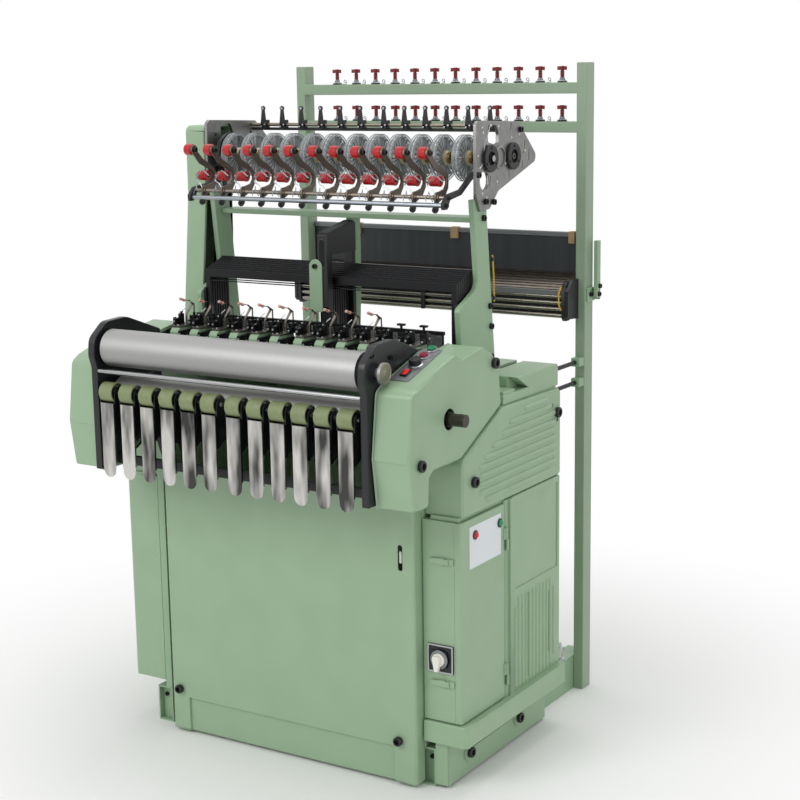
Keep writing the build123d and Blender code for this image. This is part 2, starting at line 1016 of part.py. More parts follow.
def centre_guide():
    """Inverted U of black plastic: the frames rise and fall between its two legs."""
    points = [
        (-230, tie_top),
        (-230, 1150),
        (guide_front, 1164),
        (guide_front, 1352),
        (-238, 1358),
        (guide_back - 9, 1381),
        (guide_back, 1376),
        (guide_back, tie_top),
        (guide_back - 14, tie_top),
        (guide_back - 14, 1352),
        (-218, 1332),
        (-218, tie_top),
    ]
    return side_plate(make_face(Polyline(*points, close=True)), *guide_x)


save("heald_guides", heald_ties() + both_sides(heald_comb()))
save("centre_guide", centre_guide())

# Portal: two outer posts, a hanging centre post and the cross beam
post_points = [
    (-215, frame_top),
    (-232, 1180),
    (-134, 1225),
    (-158, 1447),
    (-130, 1447),
    (-90, 1420),
    (-69, 1216),
    (-46, frame_top),
]
centre_post_points = [
    (guide_back + 4, 1088),
    (guide_back + 1, 1225),
    (guide_back + 1, beam_z - beam_thick / 2),
    (guide_back + 47, beam_z - beam_thick / 2),
    (guide_back + 47, 1216),
    (guide_back + 39, 1088),
]
beam_y = (-125.0, -60.0)


bracket_x = (-24.0, 16.0)
bracket_z = (1152.0, 1289.0)


def centre_bracket():
    """Round-headed strap bolted across the front of the centre guide."""
    radius = (bracket_x[1] - bracket_x[0]) / 2
    middle = bracket_x[0] + radius
    shoulder = bracket_z[1] - radius
    strap = block(*bracket_x, guide_front - 5, guide_front, bracket_z[0], shoulder)
    return strap + rod_y(radius, guide_front - 5, guide_front, middle, shoulder)


def portal_posts():
    face = outline(post_points, [0, 14, 30, 0, 0, 0, 0, 0])
    centre = make_face(Polyline(*centre_post_points, close=True))
    outer_posts = both_sides(side_plate(face, post_inner, post_outer))
    return outer_posts + [side_plate(centre, 0, 16), centre_bracket()]


save("portal_posts", portal_posts())
save("portal_beam", block(-post_inner, post_inner, *beam_y, beam_z - beam_thick / 2, beam_z + beam_thick / 2))

# Feeder side plates, bolted outside the posts
feeder_points = [
    (-132, 1640),
    (60, 1632),
    (85, 1616),
    (164, 1542),
    (158, 1527),
    (-43, 1462),
    (-91, 1422),
    (-135, 1418),
    (-156, 1461),
    (-158, 1565),
    (-143, 1633),
]
feeder_radii = [0, 0, 12, 0, 10, 24, 0, 0, 0, 0, 0]
feeder_end = post_outer + feeder_plate


def feeder_plate_shape(hubs):
    face = outline(feeder_points, feeder_radii)
    face -= Pos(-101, 1495) * Ellipse(22, 14)
    plate = side_plate(face, post_outer, feeder_end)
    for y in hubs:
        plate += rod_x(32, feeder_end - 1, feeder_end + 9, y, feeder_z)
    return plate - rod_x(feeder_shaft_radius + run_fit, post_outer - 1, feeder_end + 10, feeder_y, feeder_z)


save(
    "feeder_side_plates",
    [feeder_plate_shape((feeder_y, second_y)), mirror(feeder_plate_shape(()), Plane.YZ)],
)

# Feed wheels: twelve clear discs clamped on one shaft
wheel_shift = -5.0


def shaft_key():
    """The hexagon that carries the wheels between the two round journals."""
    return Pos(feeder_y, feeder_z) * RegularPolygon(feeder_shaft_radius, 6)


def feeder_shaft():
    shaft = side_plate(shaft_key(), -post_inner, post_inner)
    shaft += rod_x(feeder_shaft_radius, -feeder_end - 38, -post_inner + 1, feeder_y, feeder_z)
    shaft += rod_x(feeder_shaft_radius, post_inner - 1, feeder_end + 14, feeder_y, feeder_z)
    return shaft + rod_x(30, -feeder_end - 34, -feeder_end - 12, feeder_y, feeder_z)


def feed_wheel(x):
    face = Pos(feeder_y, feeder_z) * Circle(wheel_radius) - shaft_key()
    return side_plate(face, x - wheel_width / 2, x + wheel_width / 2)


save("feeder_shaft", feeder_shaft())
save("feed_wheels", [feed_wheel(x + wheel_shift) for x in xs])

# Guide rods in front of and behind the wheels, and the brackets that carry the front pair
front_rods = ((5.0, front_rod_y, front_rod_z), (6.0, -262.0, 1440.0))
bracket_thick = 8.0


def yarn_rods():
    rod_end = post_inner - bracket_thick
    shapes = [rod_x(radius, -rod_end, rod_end, y, z) for radius, y, z in front_rods]
    shapes.append(rod_x(5, -post_outer, post_outer, thread_rod_y, thread_rod_z))
    shapes.append(rod_x(feeder_shaft_radius, -post_outer, post_outer, second_y, feeder_z))
    return shapes


def rod_bracket():
    points = [
        (-275, 1428),
        (-275, 1452),
        (-250, 1472),
        (-150, 1476),
        (-120, 1500),
        (-106, 1500),
        (-106, 1422),
        (-140, 1422),
    ]
    return side_plate(make_face(Polyline(*points, close=True)), post_inner - bracket_thick, post_inner)


save("yarn_rods", yarn_rods() + both_sides(rod_bracket()))

# Feeler arms: one curved arm at each head, carrying an upper and a lower yarn roller
arm_thick = 5.0
roller_gap = 0.4
upper_width = 22.0
lower_width = 39.0
upper_radius = 15.0
lower_radius = 14.0


def feed_arm(x):
    points = [
        (-124, beam_z + beam_thick / 2),
        (-92, beam_z + beam_thick / 2),
        (-112, 1436),
        (-170, 1484),
        (-222, 1512),
        (-262, 1548),
        (-276, 1580),
        (-288, 1585),
        (-300, 1578),
        (-292, 1530),
        (-258, 1498),
        (-232, 1478),
        (-178, 1462),
        (-134, 1430),
    ]
    return side_plate(make_face(Polyline(*points, close=True)), x, x + arm_thick)


def upper_roller(x):
    end = x - roller_gap
    return rod_x(upper_radius, end - upper_width, end, upper_roller_y, upper_roller_z)


def lower_spool(x):
    end = x - roller_gap
    return rod_x(lower_radius, end - lower_width, end, lower_roller_y, lower_roller_z)


save("feed_arms", [feed_arm(x) for x in xs])
save("upper_yarn_rollers", [upper_roller(x) for x in xs])
save("lower_yarn_spools", [lower_spool(x) for x in xs])


# Thread arms: black forks clamped on the rear guide rod
def thread_arm(x):
    y, z = thread_rod_y, thread_rod_z
    near = 5.3
    points = [
        (y - 11, z - 9),
        (y - near, z - 9),
        (y - near, z + near),
        (y + near, z + near),
        (y + near, z - 9),
        (y + 11, z - 9),
        (y + 11, z + 13),
        (y + 3, z + 19),
        (y + 3, z + 46),
        (y - 5, z + 50),
        (y - 5, z + 19),
        (y - 11, z + 13),
    ]
    return side_plate(make_face(Polyline(*points, close=True)), x - 7, x + 7)


save("thread_arms", [thread_arm(x + wheel_shift) for x in xs])


# Belt cover from the left rear housing up to the wheel shaft
belt_cover_depth = 66.0


def belt_cover():
    inner_x = feeder_end + fit_gap
    outer_x = feeder_end + belt_cover_depth
    top = feeder_z + 80
    neck = feeder_z - 106
    points = [(-205, 1003), (-200, 1060), (-160, neck), (-160, top), (-40, top), (-40, neck), (-60, 1003)]
    face = outline(points, [0, 0, 0, 20, 20, 0, 0])
    shell = side_plate(face, inner_x, outer_x)
    shell -= side_plate(offset(face, -casing_wall), inner_x - 1, outer_x - casing_wall)
    return mirror(shell, Plane.YZ)


save("belt_cover", belt_cover())


# Rear rack: two posts and two thread bars, welded
def rear_rack():
    post = block(base_half, base_half + rack_width, rack_front, rack_front + rack_depth, 0, rack_height)
    rack = post + mirror(post, Plane.YZ)
    for top in (upper_bar_z, lower_bar_z):
        rack += block(-base_half, base_half, rack_front, rack_front + bar_size, top - bar_size, top)
    return rack


save("rear_rack", rear_rack())

# Yarn tensioners in two rows on the rack bars
tension_y = rack_front + bar_size / 2
tension_xs = [tension_first_x + tension_pitch * k for k in range(tension_count)]


def tensioner(x, z):
    """Disc brake on the bar, spring pillar and hand knob, stacked on one screw."""
    discs = Pos(x, tension_y, z) * extrude(RegularPolygon(14, 8), 6)
    pillar = Pos(x, tension_y, z + 5) * extrude(RegularPolygon(6, 4), 27)
    knob = Pos(x, tension_y, z + 31) * extrude(RegularPolygon(14, 8), 12)
    return discs + pillar + knob


save("tensioners", [tensioner(x, z) for z in (upper_bar_z, lower_bar_z) for x in tension_xs])

# Warp stop motion on the rear posts
warp_rod_y = 302.0
warp_rod_radius = 6.5
warp_rod_pitch = 17.5
warp_rod_zs = [1096.5 + warp_rod_pitch * k for k in range(4)]
bed_y = (300.0, 400.0)
bed_z = (1166.0, 1180.0)
warp_plate_z = (bed_z[1] + 20.0, bed_z[1] + 130.0)


def warp_rollers():
    points = [(290, 1096), (298, 1088), (rack_front, 1084), (rack_front, 1194), (320, 1194), (290, 1166)]
    brackets = both_sides(side_plate(make_face(Polyline(*points, close=True)), base_half, base_half + 10))
    return brackets + [rod_x(warp_rod_radius, -base_half, base_half, warp_rod_y, z) for z in warp_rod_zs]


def dropper_bed():
    bed = block(-base_half, base_half, *bed_y, *bed_z)
    for y in (318, 338, 358, 378):
        bed -= block(-base_half + 20, base_half - 20, y - 2, y + 2, bed_z[0] + 6, bed_z[1] + 1)
    return bed


def warp_plate():
    plate = block(-base_half, base_half, 392, 396, *warp_plate_z)
    return plate + block(-base_half, base_half, 386, 402, warp_plate_z[1], warp_plate_z[1] + 8)


save("warp_rollers", warp_rollers())
save("warp_stop_bed", [dropper_bed(), warp_plate()])


# Bent arm clamped to the right rear post
def side_arm():
    x0 = base_half + rack_width
    clamp = block(x0, x0 + 6, rack_front + 4, rack_front + rack_depth, 1128, 1168)
    points = [
        (x0 + 5, 1147),
        (x0 + 50, 1147),
        (x0 + 50, 1297),
        (x0 + 38, 1297),
        (x0 + 38, 1159),
        (x0 + 5, 1159),
    ]
    face = make_face(Polyline(*points, close=True))
    return clamp + front_plate(face, rack_front + 26, rack_front + 46)


save("side_arm", side_arm())

# Knurled thumb screws and the black knobs that hold the covers
cover_knob_at = ((-600.0, 872.0), (-246.0, 1058.0))
louvre_knob_at = ((-365.0, 784.0), (83.0, 875.0))


def knob_x(x, y, z, radius=14.0, height=11.0):
    return Pos(x, y, z) * Rot(0, 90, 0) * extrude(RegularPolygon(radius, 8), height)


def cover_knobs():
    right = [knob_x(cover_x, y, z) for y, z in cover_knob_at]
    right += [knob_x(casing_x, y, z) for y, z in louvre_knob_at]
    left = [mirror(knob, Plane.YZ) for knob in right]
    skirt = [knob_x(skirt_x + 4, y, scoop_z) for y in scoop_y]
    return right + left + skirt


def thumb_screws():
    places = ((panel_left + 29, 126), (panel_right - 49, 121))
    return [rod_y(12, panel_front - 14, panel_front, x, z) for x, z in places]


save("cover_screws", cover_knobs() + thumb_screws())


# Lamps on the cabinet door
def pilot_lamps():
    return [rod_x(9, casing_x, casing_x + 9, y, 650) for y in (-360, -235)]


save("pilot_lamps", pilot_lamps())
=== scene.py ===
"""The looks of a twelve-head narrow fabric needle loom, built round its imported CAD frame."""

import json
import math

import bmesh
import bpy
from mathutils import Matrix, Vector

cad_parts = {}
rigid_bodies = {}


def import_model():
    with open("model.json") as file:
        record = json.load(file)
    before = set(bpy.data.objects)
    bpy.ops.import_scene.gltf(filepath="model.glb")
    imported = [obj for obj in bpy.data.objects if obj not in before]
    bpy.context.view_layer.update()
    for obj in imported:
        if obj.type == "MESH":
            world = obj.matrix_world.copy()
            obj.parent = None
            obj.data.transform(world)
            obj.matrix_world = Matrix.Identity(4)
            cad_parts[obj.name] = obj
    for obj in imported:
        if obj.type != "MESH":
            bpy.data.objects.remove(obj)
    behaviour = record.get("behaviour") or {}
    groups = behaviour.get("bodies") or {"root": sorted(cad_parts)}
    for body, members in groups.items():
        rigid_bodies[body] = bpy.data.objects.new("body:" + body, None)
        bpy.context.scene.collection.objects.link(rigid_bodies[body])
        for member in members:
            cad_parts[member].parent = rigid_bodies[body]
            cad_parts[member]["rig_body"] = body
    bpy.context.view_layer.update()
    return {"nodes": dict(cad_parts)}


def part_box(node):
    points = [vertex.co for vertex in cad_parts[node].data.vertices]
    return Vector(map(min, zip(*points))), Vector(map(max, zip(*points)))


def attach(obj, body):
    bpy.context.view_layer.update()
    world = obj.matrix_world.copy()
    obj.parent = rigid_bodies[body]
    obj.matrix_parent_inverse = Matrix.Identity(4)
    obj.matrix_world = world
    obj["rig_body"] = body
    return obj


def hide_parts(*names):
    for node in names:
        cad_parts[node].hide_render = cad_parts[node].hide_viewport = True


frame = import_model()
nodes = frame["nodes"]
MM = 0.001


# Base and side frames
# Welded rectangular tube carries two thick steel plates. All of it is sprayed with one sage
# green enamel, which is smooth, half glossy and a little uneven like orange peel.
def linear(hex_colour):
    """Linear colour of an sRGB hex colour."""
    values = [int(hex_colour[i : i + 2], 16) / 255 for i in (0, 2, 4)]
    values = [v / 12.92 if v <= 0.04045 else ((v + 0.055) / 1.055) ** 2.4 for v in values]
    return (*values, 1.0)


def add_node(tree, kind, inputs=None, **settings):
    """Adds a node with its settings; each input is a value or another node's output."""
    node = tree.nodes.new(kind)
    for key, value in settings.items():
        setattr(node, key, value)
    for key, value in (inputs or {}).items():
        if isinstance(value, bpy.types.NodeSocket):
            tree.links.new(value, node.inputs[key])
        else:
            node.inputs[key].default_value = value
    return node


def finish(name, colour, roughness=0.5, metallic=0.0, **more):
    """A plain material with typical values of the real one on its own sockets."""
    material = bpy.data.materials.new(name)
    material.use_nodes = True
    inputs = material.node_tree.nodes["Principled BSDF"].inputs
    inputs["Base Color"].default_value = linear(colour)
    inputs["Roughness"].default_value = roughness
    inputs["Metallic"].default_value = metallic
    for key, value in more.items():
        inputs[key.replace("_", " ")].default_value = value
    return material


def grains(material, size_mm, stretch=(1, 1, 1), detail=3.0):
    """Noise with grains of a real size, stretched along an axis where the tool ran."""
    tree = material.node_tree
    place = add_node(tree, "ShaderNodeTexCoord").outputs["Object"]
    place = add_node(tree, "ShaderNodeMapping", {"Vector": place, "Scale": stretch}).outputs["Vector"]
    settings = {"Vector": place, "Scale": 1 / (size_mm * MM), "Detail": detail}
    return add_node(tree, "ShaderNodeTexNoise", settings).outputs["Fac"]


def roughen(material, height, depth_mm):
    """Turns a pattern into relief of a real depth."""
    tree = material.node_tree
    bump = add_node(tree, "ShaderNodeBump", {"Height": height, "Distance": depth_mm * MM, "Strength": 1.0})
    tree.links.new(bump.outputs["Normal"], tree.nodes["Principled BSDF"].inputs["Normal"])


def shade(material, pattern, dark, light, socket="Base Color"):
    """Lets a pattern move a colour or a roughness between two values."""
    tree = material.node_tree
    if socket == "Base Color":
        values = {0: pattern, 6: linear(dark), 7: linear(light)}
        result = add_node(tree, "ShaderNodeMix", values, data_type="RGBA").outputs[2]
    else:
        values = {0: pattern, 3: dark, 4: light}
        result = add_node(tree, "ShaderNodeMapRange", values).outputs[0]
    tree.links.new(result, tree.nodes["Principled BSDF"].inputs[socket])


def enamel(name, dark, light, roughness=0.36):
    material = finish(name, light, roughness)
    shade(material, grains(material, 90, detail=1.0), dark, light)
    roughen(material, grains(material, 2.5, detail=1.0), 0.02)
    return material


def dress(name, material):
    """Gives a CAD piece its finish."""
    nodes[name].data.materials.clear()
    nodes[name].data.materials.append(material)


def merged_copy(name):
    """A CAD piece's mesh with its loose triangles joined into faces."""
    bm = bmesh.new()
    bm.from_mesh(nodes[name].data)
    bmesh.ops.remove_doubles(bm, verts=bm.verts, dist=0.01 * MM)
    bmesh.ops.dissolve_limit(bm, angle_limit=math.radians(0.3), verts=bm.verts, edges=bm.edges)
    return bm


def finished(obj):
    """Fixes an object's modifiers into its mesh."""
    bpy.context.view_layer.update()
    evaluated = obj.evaluated_get(bpy.context.evaluated_depsgraph_get())
    mesh = bpy.data.meshes.new_from_object(evaluated)
    obj.modifiers.clear()
    obj.data = mesh
    return obj


def soften(name, radius_mm, material, segments=2, without=None, only=None):
    """Stands a copy with rounded outer edges in for a CAD piece.

    One test picks out points to leave away, and the other limits the rounding to some points.
    """
    bm = merged_copy(name)
    if without:
        bmesh.ops.delete(bm, geom=[v for v in bm.verts if without(v.co / MM)], context="VERTS")
        bmesh.ops.holes_fill(bm, edges=[e for e in bm.edges if len(e.link_faces) == 1], sides=0)
    radius = radius_mm * MM

    def is_outer(edge):
        if len(edge.link_faces) != 2 or not edge.is_convex:
            return False
        if only and not all(only(vert.co / MM) for vert in edge.verts):
            return False
        wide = min(face.calc_area() for face in edge.link_faces) / max(edge.calc_length(), 1e-6)
        return edge.calc_face_angle() > math.radians(28) and wide > 2.2 * radius

    edges = [edge for edge in bm.edges if is_outer(edge)]
    bmesh.ops.bevel(bm, geom=edges, offset=radius, offset_type="OFFSET", segments=segments, profile=0.5,
        affect="EDGES", clamp_overlap=False)
    mesh = bpy.data.meshes.new(name + "_rounded")
    bm.to_mesh(mesh)
    bm.free()
    mesh.materials.append(material)
    mesh.shade_smooth()
    mesh.set_sharp_from_angle(angle=math.radians(35))
    obj = bpy.data.objects.new(name + "_rounded", mesh)
    bpy.context.scene.collection.objects.link(obj)
    obj.modifiers.new("flat_faces", "WEIGHTED_NORMAL").keep_sharp = True
    finished(obj)
    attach(obj, nodes[name]["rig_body"])
    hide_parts(name)
    return obj


sage_enamel = enamel("sage_enamel", "8CA889", "93B090")
dress("base_frame", sage_enamel)
soften("side_frames", 1.5, sage_enamel)

# Sheet-metal panels and casings
# Folded steel sheets close the body: front panel, side casings with pressed ribs, cabinet and
# rear housings. They carry the same enamel, fresh and even.
def corners(name):
    """Lowest and highest corner of a CAD piece's box, in mm."""
    return [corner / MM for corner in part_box(name)]


panel_enamel = enamel("sage_panel_enamel", "90AA8B", "99B395")
PANEL_EDGES = {"front_panel": 8.0, "left_casing": 2.5, "rear_housings": 3.0, "cabinet_box": 1.0,
    "left_front_cover": 6.0, "right_front_cover": 6.0, "belt_cover": 5.0}
for panel, radius in PANEL_EDGES.items():
    soften(panel, radius, panel_enamel)
door_front = corners("cabinet_door")[1].x
soften("cabinet_door", 2.0, panel_enamel, only=lambda p: p.x > door_front - 1)

# Fixings of the panels
# Moulded black knobs with a deep recess hold the covers and the front panel, which also has a
# small pale latch. Each knob is turned from a profile and set on the CAD screw's own place.
CYLINDER_SIDES = 32


def lathe(bm, profile, place, axis, sides=CYLINDER_SIDES):
    """Turns a closed profile of (radius, height) points round an axis through a place, in mm."""
    turn = Vector((0, 0, 1)).rotation_difference(Vector(axis)).to_matrix()
    rings = []
    for radius, height in profile:
        ring = []
        for k in range(sides if radius > 0 else 1):
            angle = 2 * math.pi * k / sides
            point = Vector((radius * math.cos(angle), radius * math.sin(angle), height))
            ring.append(bm.verts.new(turn @ point + Vector(place)))
        rings.append(ring)
    for lower, upper in zip(rings, rings[1:]):
        for k in range(sides):
            quad = [lower[k % len(lower)], lower[(k + 1) % len(lower)]]
            quad += [upper[(k + 1) % len(upper)], upper[k % len(upper)]]
            bm.faces.new(list(dict.fromkeys(quad)))
    return bm


def rod(bm, radius, start, end, sides=CYLINDER_SIDES, edge=0.0):
    """A round bar between two points, with a small chamfer at both ends."""
    axis = Vector(end) - Vector(start)
    length = axis.length
    profile = [(0, 0), (radius - edge, 0), (radius, edge), (radius, length - edge)]
    profile += [(radius - edge, length), (0, length)]
    unique = [point for k, point in enumerate(profile) if k == 0 or point != profile[k - 1]]
    return lathe(bm, unique, start, axis.normalized(), sides)


BLOCK_FACES = ((0, 1, 3, 2), (4, 6, 7, 5), (0, 4, 5, 1), (2, 3, 7, 6), (0, 2, 6, 4), (1, 5, 7, 3))


def blocks(bm, *boxes):
    """Rectangular blocks, each given by its ends along X, Y and Z, in mm."""
    for x0, x1, y0, y1, z0, z1 in boxes:
        tips = [bm.verts.new((x, y, z)) for x in (x0, x1) for y in (y0, y1) for z in (z0, z1)]
        for quad in BLOCK_FACES:
            bm.faces.new([tips[k] for k in quad])
    return bm


def plate(bm, points, axis, low, high):
    """A flat plate: an outline in the plane square to X, Y or Z, given its thickness."""
    order = {"X": lambda a, b, t: (t, a, b), "Y": lambda a, b, t: (a, t, b), "Z": lambda a, b, t: (a, b, t)}
    lower = [bm.verts.new(order[axis](a, b, low)) for a, b in points]
    upper = [bm.verts.new(order[axis](a, b, high)) for a, b in points]
    bm.faces.new(lower)
    bm.faces.new(upper)
    for k in range(len(points)):
        after = (k + 1) % len(points)
        bm.faces.new([lower[k], lower[after], upper[after], upper[k]])
    return bm


def chamfer(bm, edge_mm):
    """Turns a shape's faces outward and takes its sharp edges off."""
    bmesh.ops.recalc_face_normals(bm, faces=bm.faces)
    if edge_mm:
        sharp = [e for e in bm.edges if len(e.link_faces) == 2 and e.calc_face_angle() > math.radians(40)]
        bmesh.ops.bevel(bm, geom=sharp, offset=edge_mm, segments=1, affect="EDGES", clamp_overlap=True)


def as_object(name, bm):
    """Turns a shape in mm into an object."""
    bmesh.ops.scale(bm, vec=(MM, MM, MM), verts=bm.verts)
    mesh = bpy.data.meshes.new(name)
    bm.to_mesh(mesh)
    bm.free()
    obj = bpy.data.objects.new(name, mesh)
    bpy.context.scene.collection.objects.link(obj)
    return obj


def smooth(obj):
    """Shades an object smooth between its sharp edges."""
    obj.data.shade_smooth()
    obj.data.set_sharp_from_angle(angle=math.radians(35))


def enlist(obj, body, stands_for):
    """Sets a piece on its body and the CAD pieces that it stands for."""
    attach(obj, body)
    if stands_for:
        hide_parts(*stands_for)
    return obj


def seat(name, bm, material, body, stands_for=(), edge_mm=0.0):
    """Makes a piece from a shape in mm, gives it its finish and sets it on its body."""
    chamfer(bm, edge_mm)
    obj = as_object(name, bm)
    obj.data.materials.append(material)
    smooth(obj)
    return enlist(obj, body, stands_for)


def solids(name):
    """Lowest and highest corner of every separate solid of a CAD piece, in mm."""
    bm = merged_copy(name)
    bm.verts.ensure_lookup_table()
    seen, boxes = set(), []
    for first in bm.verts:
        if first.index in seen:
            continue
        island, waiting = [], [first]
        seen.add(first.index)
        while waiting:
            vert = waiting.pop()
            island.append(vert.co / MM)
            for edge in vert.link_edges:
                other = edge.other_vert(vert)
                if other.index not in seen:
                    seen.add(other.index)
                    waiting.append(other)
        low = Vector([min(co[k] for co in island) for k in range(3)])
        high = Vector([max(co[k] for co in island) for k in range(3)])
        boxes.append((low, high))
    bm.free()
    return sorted(boxes, key=lambda box: (round(box[0].x), round(box[0].y), round(box[0].z)))


black_moulding = finish("black_nylon_moulding", "141517", 0.42)
roughen(black_moulding, grains(black_moulding, 0.8), 0.01)
knob_bm = bmesh.new()
KNOB_PROFILE = [(0, 0), (0.8, 0), (0.8, 0.18), (1, 0.25), (1, 0.85), (0.88, 1), (0.58, 1), (0.5, 0.45)]
KNOB_PROFILE += [(0, 0.45)]
for low, high in solids("cover_screws"):
    size, middle = high - low, (low + high) / 2
    facing = min(range(3), key=lambda k: size[k])
    radius = sorted(size)[1] / 2
    depth = size[facing]
    if facing == 0:
        side = 1 if middle.x > 0 else -1
        foot = Vector((low.x if side > 0 else high.x, middle.y, middle.z))
        axis = (side, 0, 0)
    else:
        foot = Vector((middle.x, high.y, middle.z))
        axis = (0, -1, 0)
    lathe(knob_bm, [(r * radius, h * depth) for r, h in KNOB_PROFILE], foot, axis)
seat("cover_knobs", knob_bm, black_moulding, "frame", ["cover_screws"])
pale_latch = finish("pale_latch_moulding", "C9D3C4", 0.4)
latch_bm = blocks(bmesh.new(), (374.5, 381.5, -466, -460, 583, 613))
seat("front_panel_latch", latch_bm, pale_latch, "frame", edge_mm=1.5)

# Heads of the screws that hold frames and plates
# Black socket-head screws are one shape that Geometry Nodes sets on every point of a list, each
# turned to the face that it holds, with a hexagon sunk in its head.
screw_black = finish("blackened_screw_steel", "202124", 0.35, 0.6)
screw_zinc = finish("zinc_plated_screw_steel", "B9BCBE", 0.28, 1.0)
zinc = finish("blue_zinc_plating", "9FA6AC", 0.3, 1.0)


def new_tree(name, sizes):
    """A geometry tree with a named input for each size and a material."""
    tree = bpy.data.node_groups.new(name, "GeometryNodeTree")
    tree.interface.new_socket("Geometry", in_out="INPUT", socket_type="NodeSocketGeometry")
    for size, kind in sizes.items():
        tree.interface.new_socket(size, in_out="INPUT", socket_type="NodeSocket" + kind)
    tree.interface.new_socket("Finish", in_out="INPUT", socket_type="NodeSocketMaterial")
    tree.interface.new_socket("Geometry", in_out="OUTPUT", socket_type="NodeSocketGeometry")
    return tree, tree.nodes.new("NodeGroupInput").outputs


def end_tree(tree, given, instances):
    """Closes a geometry tree: real faces, with their finish."""
    real = add_node(tree, "GeometryNodeRealizeInstances", {"Geometry": instances}).outputs[0]
    inputs = {"Geometry": real, "Material": given["Finish"]}
    coated = add_node(tree, "GeometryNodeSetMaterial", inputs).outputs[0]
    tree.links.new(coated, tree.nodes.new("NodeGroupOutput").inputs[0])


def grow(name, bm, tree, sizes, material, body, stands_for=(), edge_mm=0.0):
    """Runs a geometry tree on a shape in mm and seats the result on its body."""
    chamfer(bm, edge_mm)
    obj = as_object(name, bm)
    modifier = obj.modifiers.new("grow", "NODES")
    modifier.node_group = tree
    for item in tree.interface.items_tree:
        if item.in_out == "INPUT" and item.name in sizes:
            modifier[item.identifier] = sizes[item.name]
        if item.in_out == "INPUT" and item.name == "Finish":
            modifier[item.identifier] = material
    smooth(finished(obj))
    return enlist(obj, body, stands_for)


def screw_tree():
    """Points become socket-head screws that face along the tree's axis."""
    sizes = {"Head radius": "Float", "Head height": "Float", "Facing": "Vector"}
    tree, given = new_tree("socket_head_screws", sizes)
    disc = add_node(tree, "GeometryNodeMeshCircle", {"Vertices": 18, "Radius": given["Head radius"]},
        fill_type="NGON")
    body = add_node(tree, "GeometryNodeExtrudeMesh",
        {"Mesh": disc.outputs[0], "Offset Scale": given["Head height"]})
    rim = add_node(tree, "GeometryNodeExtrudeMesh",
        {"Mesh": body.outputs[0], "Selection": body.outputs["Top"], "Offset Scale": 0.0})
    inner = add_node(tree, "GeometryNodeScaleElements",
        {"Geometry": rim.outputs[0], "Selection": rim.outputs["Top"], "Scale": 0.55})
    depth = add_node(tree, "ShaderNodeMath", {0: given["Head height"], 1: -0.6},
        operation="MULTIPLY").outputs[0]
    socket = add_node(tree, "GeometryNodeExtrudeMesh",
        {"Mesh": inner.outputs[0], "Selection": rim.outputs["Top"], "Offset Scale": depth})
    turn = add_node(tree, "FunctionNodeAlignRotationToVector", {"Vector": given["Facing"]}, axis="Z")
    placed = add_node(tree, "GeometryNodeInstanceOnPoints",
        {"Points": given["Geometry"], "Instance": socket.outputs[0], "Rotation": turn.outputs[0]})
    end_tree(tree, given, placed.outputs[0])
    return tree


SCREWS = screw_tree()


def dots(points):
    """A shape that is only points, for a tree to set things on."""
    bm = bmesh.new()
    for point in points:
        bm.verts.new(point)
    return bm


def screws(name, points, facing, radius, height, material, body="frame"):
    """Socket-head screws standing on the given points, in mm."""
    sizes = {"Head radius": radius * MM, "Head height": height * MM, "Facing": facing}
    return grow(name, dots(points), SCREWS, sizes, material, body)


post_face = solids("portal_posts")[-1][1].x
plate_face = solids("feeder_side_plates")[-1][0].x + 9.0
RIGHTWARD, LEFTWARD, FORWARD = (1, 0, 0), (-1, 0, 0), (0, -1, 0)
post_screws = [(post_face, y, z) for y, z in ((-109, 1398), (-77, 1171), (-72, 1118), (-74, 1040))]
screws("post_screws", post_screws, RIGHTWARD, 8, 7, screw_black)
left_post_screws = [(-post_face, -77, 1171), (-post_face, -72, 1118)]
screws("left_post_screws", left_post_screws, LEFTWARD, 8, 7, screw_black)
plate_screws = [(plate_face, y, z) for y, z in ((74, 1612), (-150, 1508), (-113, 1440), (-72, 1436))]
screws("feeder_plate_screws", plate_screws, RIGHTWARD, 7.5, 7, screw_black)

# Electrical cabinet: door plate, lamps, latches and main switch
# The door carries a bare white plate with a red and a green lamp. Two painted draw latches keep
# it shut, and a white lever on a black square in a metal frame switches the machine.
lamps = solids("pilot_lamps")
lamp_face = lamps[0][0].x
plate_white = finish("white_sheet_plate", "DDE2E6", 0.35)
plate_bm = blocks(bmesh.new(), (lamp_face - 0.5, lamp_face + 0.8, -387, -228, 568, 674))
seat("door_plate", plate_bm, plate_white, "door", edge_mm=0.3)
LENS_PROFILE = [(0, 0), (10.5, 0), (10.5, 3.5), (9, 4.5), (8.6, 7), (7, 9.2), (4, 10.4), (0, 10.8)]
lens_finishes = [finish("red_lens", "D8161B", 0.18, Transmission_Weight=0.15),
    finish("green_lens", "0C9A63", 0.18, Transmission_Weight=0.15)]
lamp_black = finish("black_lamp_bezel", "222426", 0.4)
for k, (low, high) in enumerate(lamps):
    middle = (low + high) / 2
    lens = bmesh.new()
    reach = (high.x - low.x) / LENS_PROFILE[-1][1]
    lathe(lens, [(r * 0.92, h * reach) for r, h in LENS_PROFILE], (low.x, middle.y, middle.z), RIGHTWARD)
    seat(("red_lamp", "green_lamp")[k], lens, lens_finishes[k], "door",
        ["pilot_lamps"] if k == 0 else ())
bezels = bmesh.new()
for low, high in lamps:
    middle = (low + high) / 2
    lathe(bezels, [(9.8, 0.6), (11.6, 0.6), (11.6, 3.2), (10.8, 4.0), (9.8, 4.0), (9.8, 0.6)],
        (low.x, middle.y, middle.z), RIGHTWARD)
seat("lamp_bezels", bezels, lamp_black, "door")

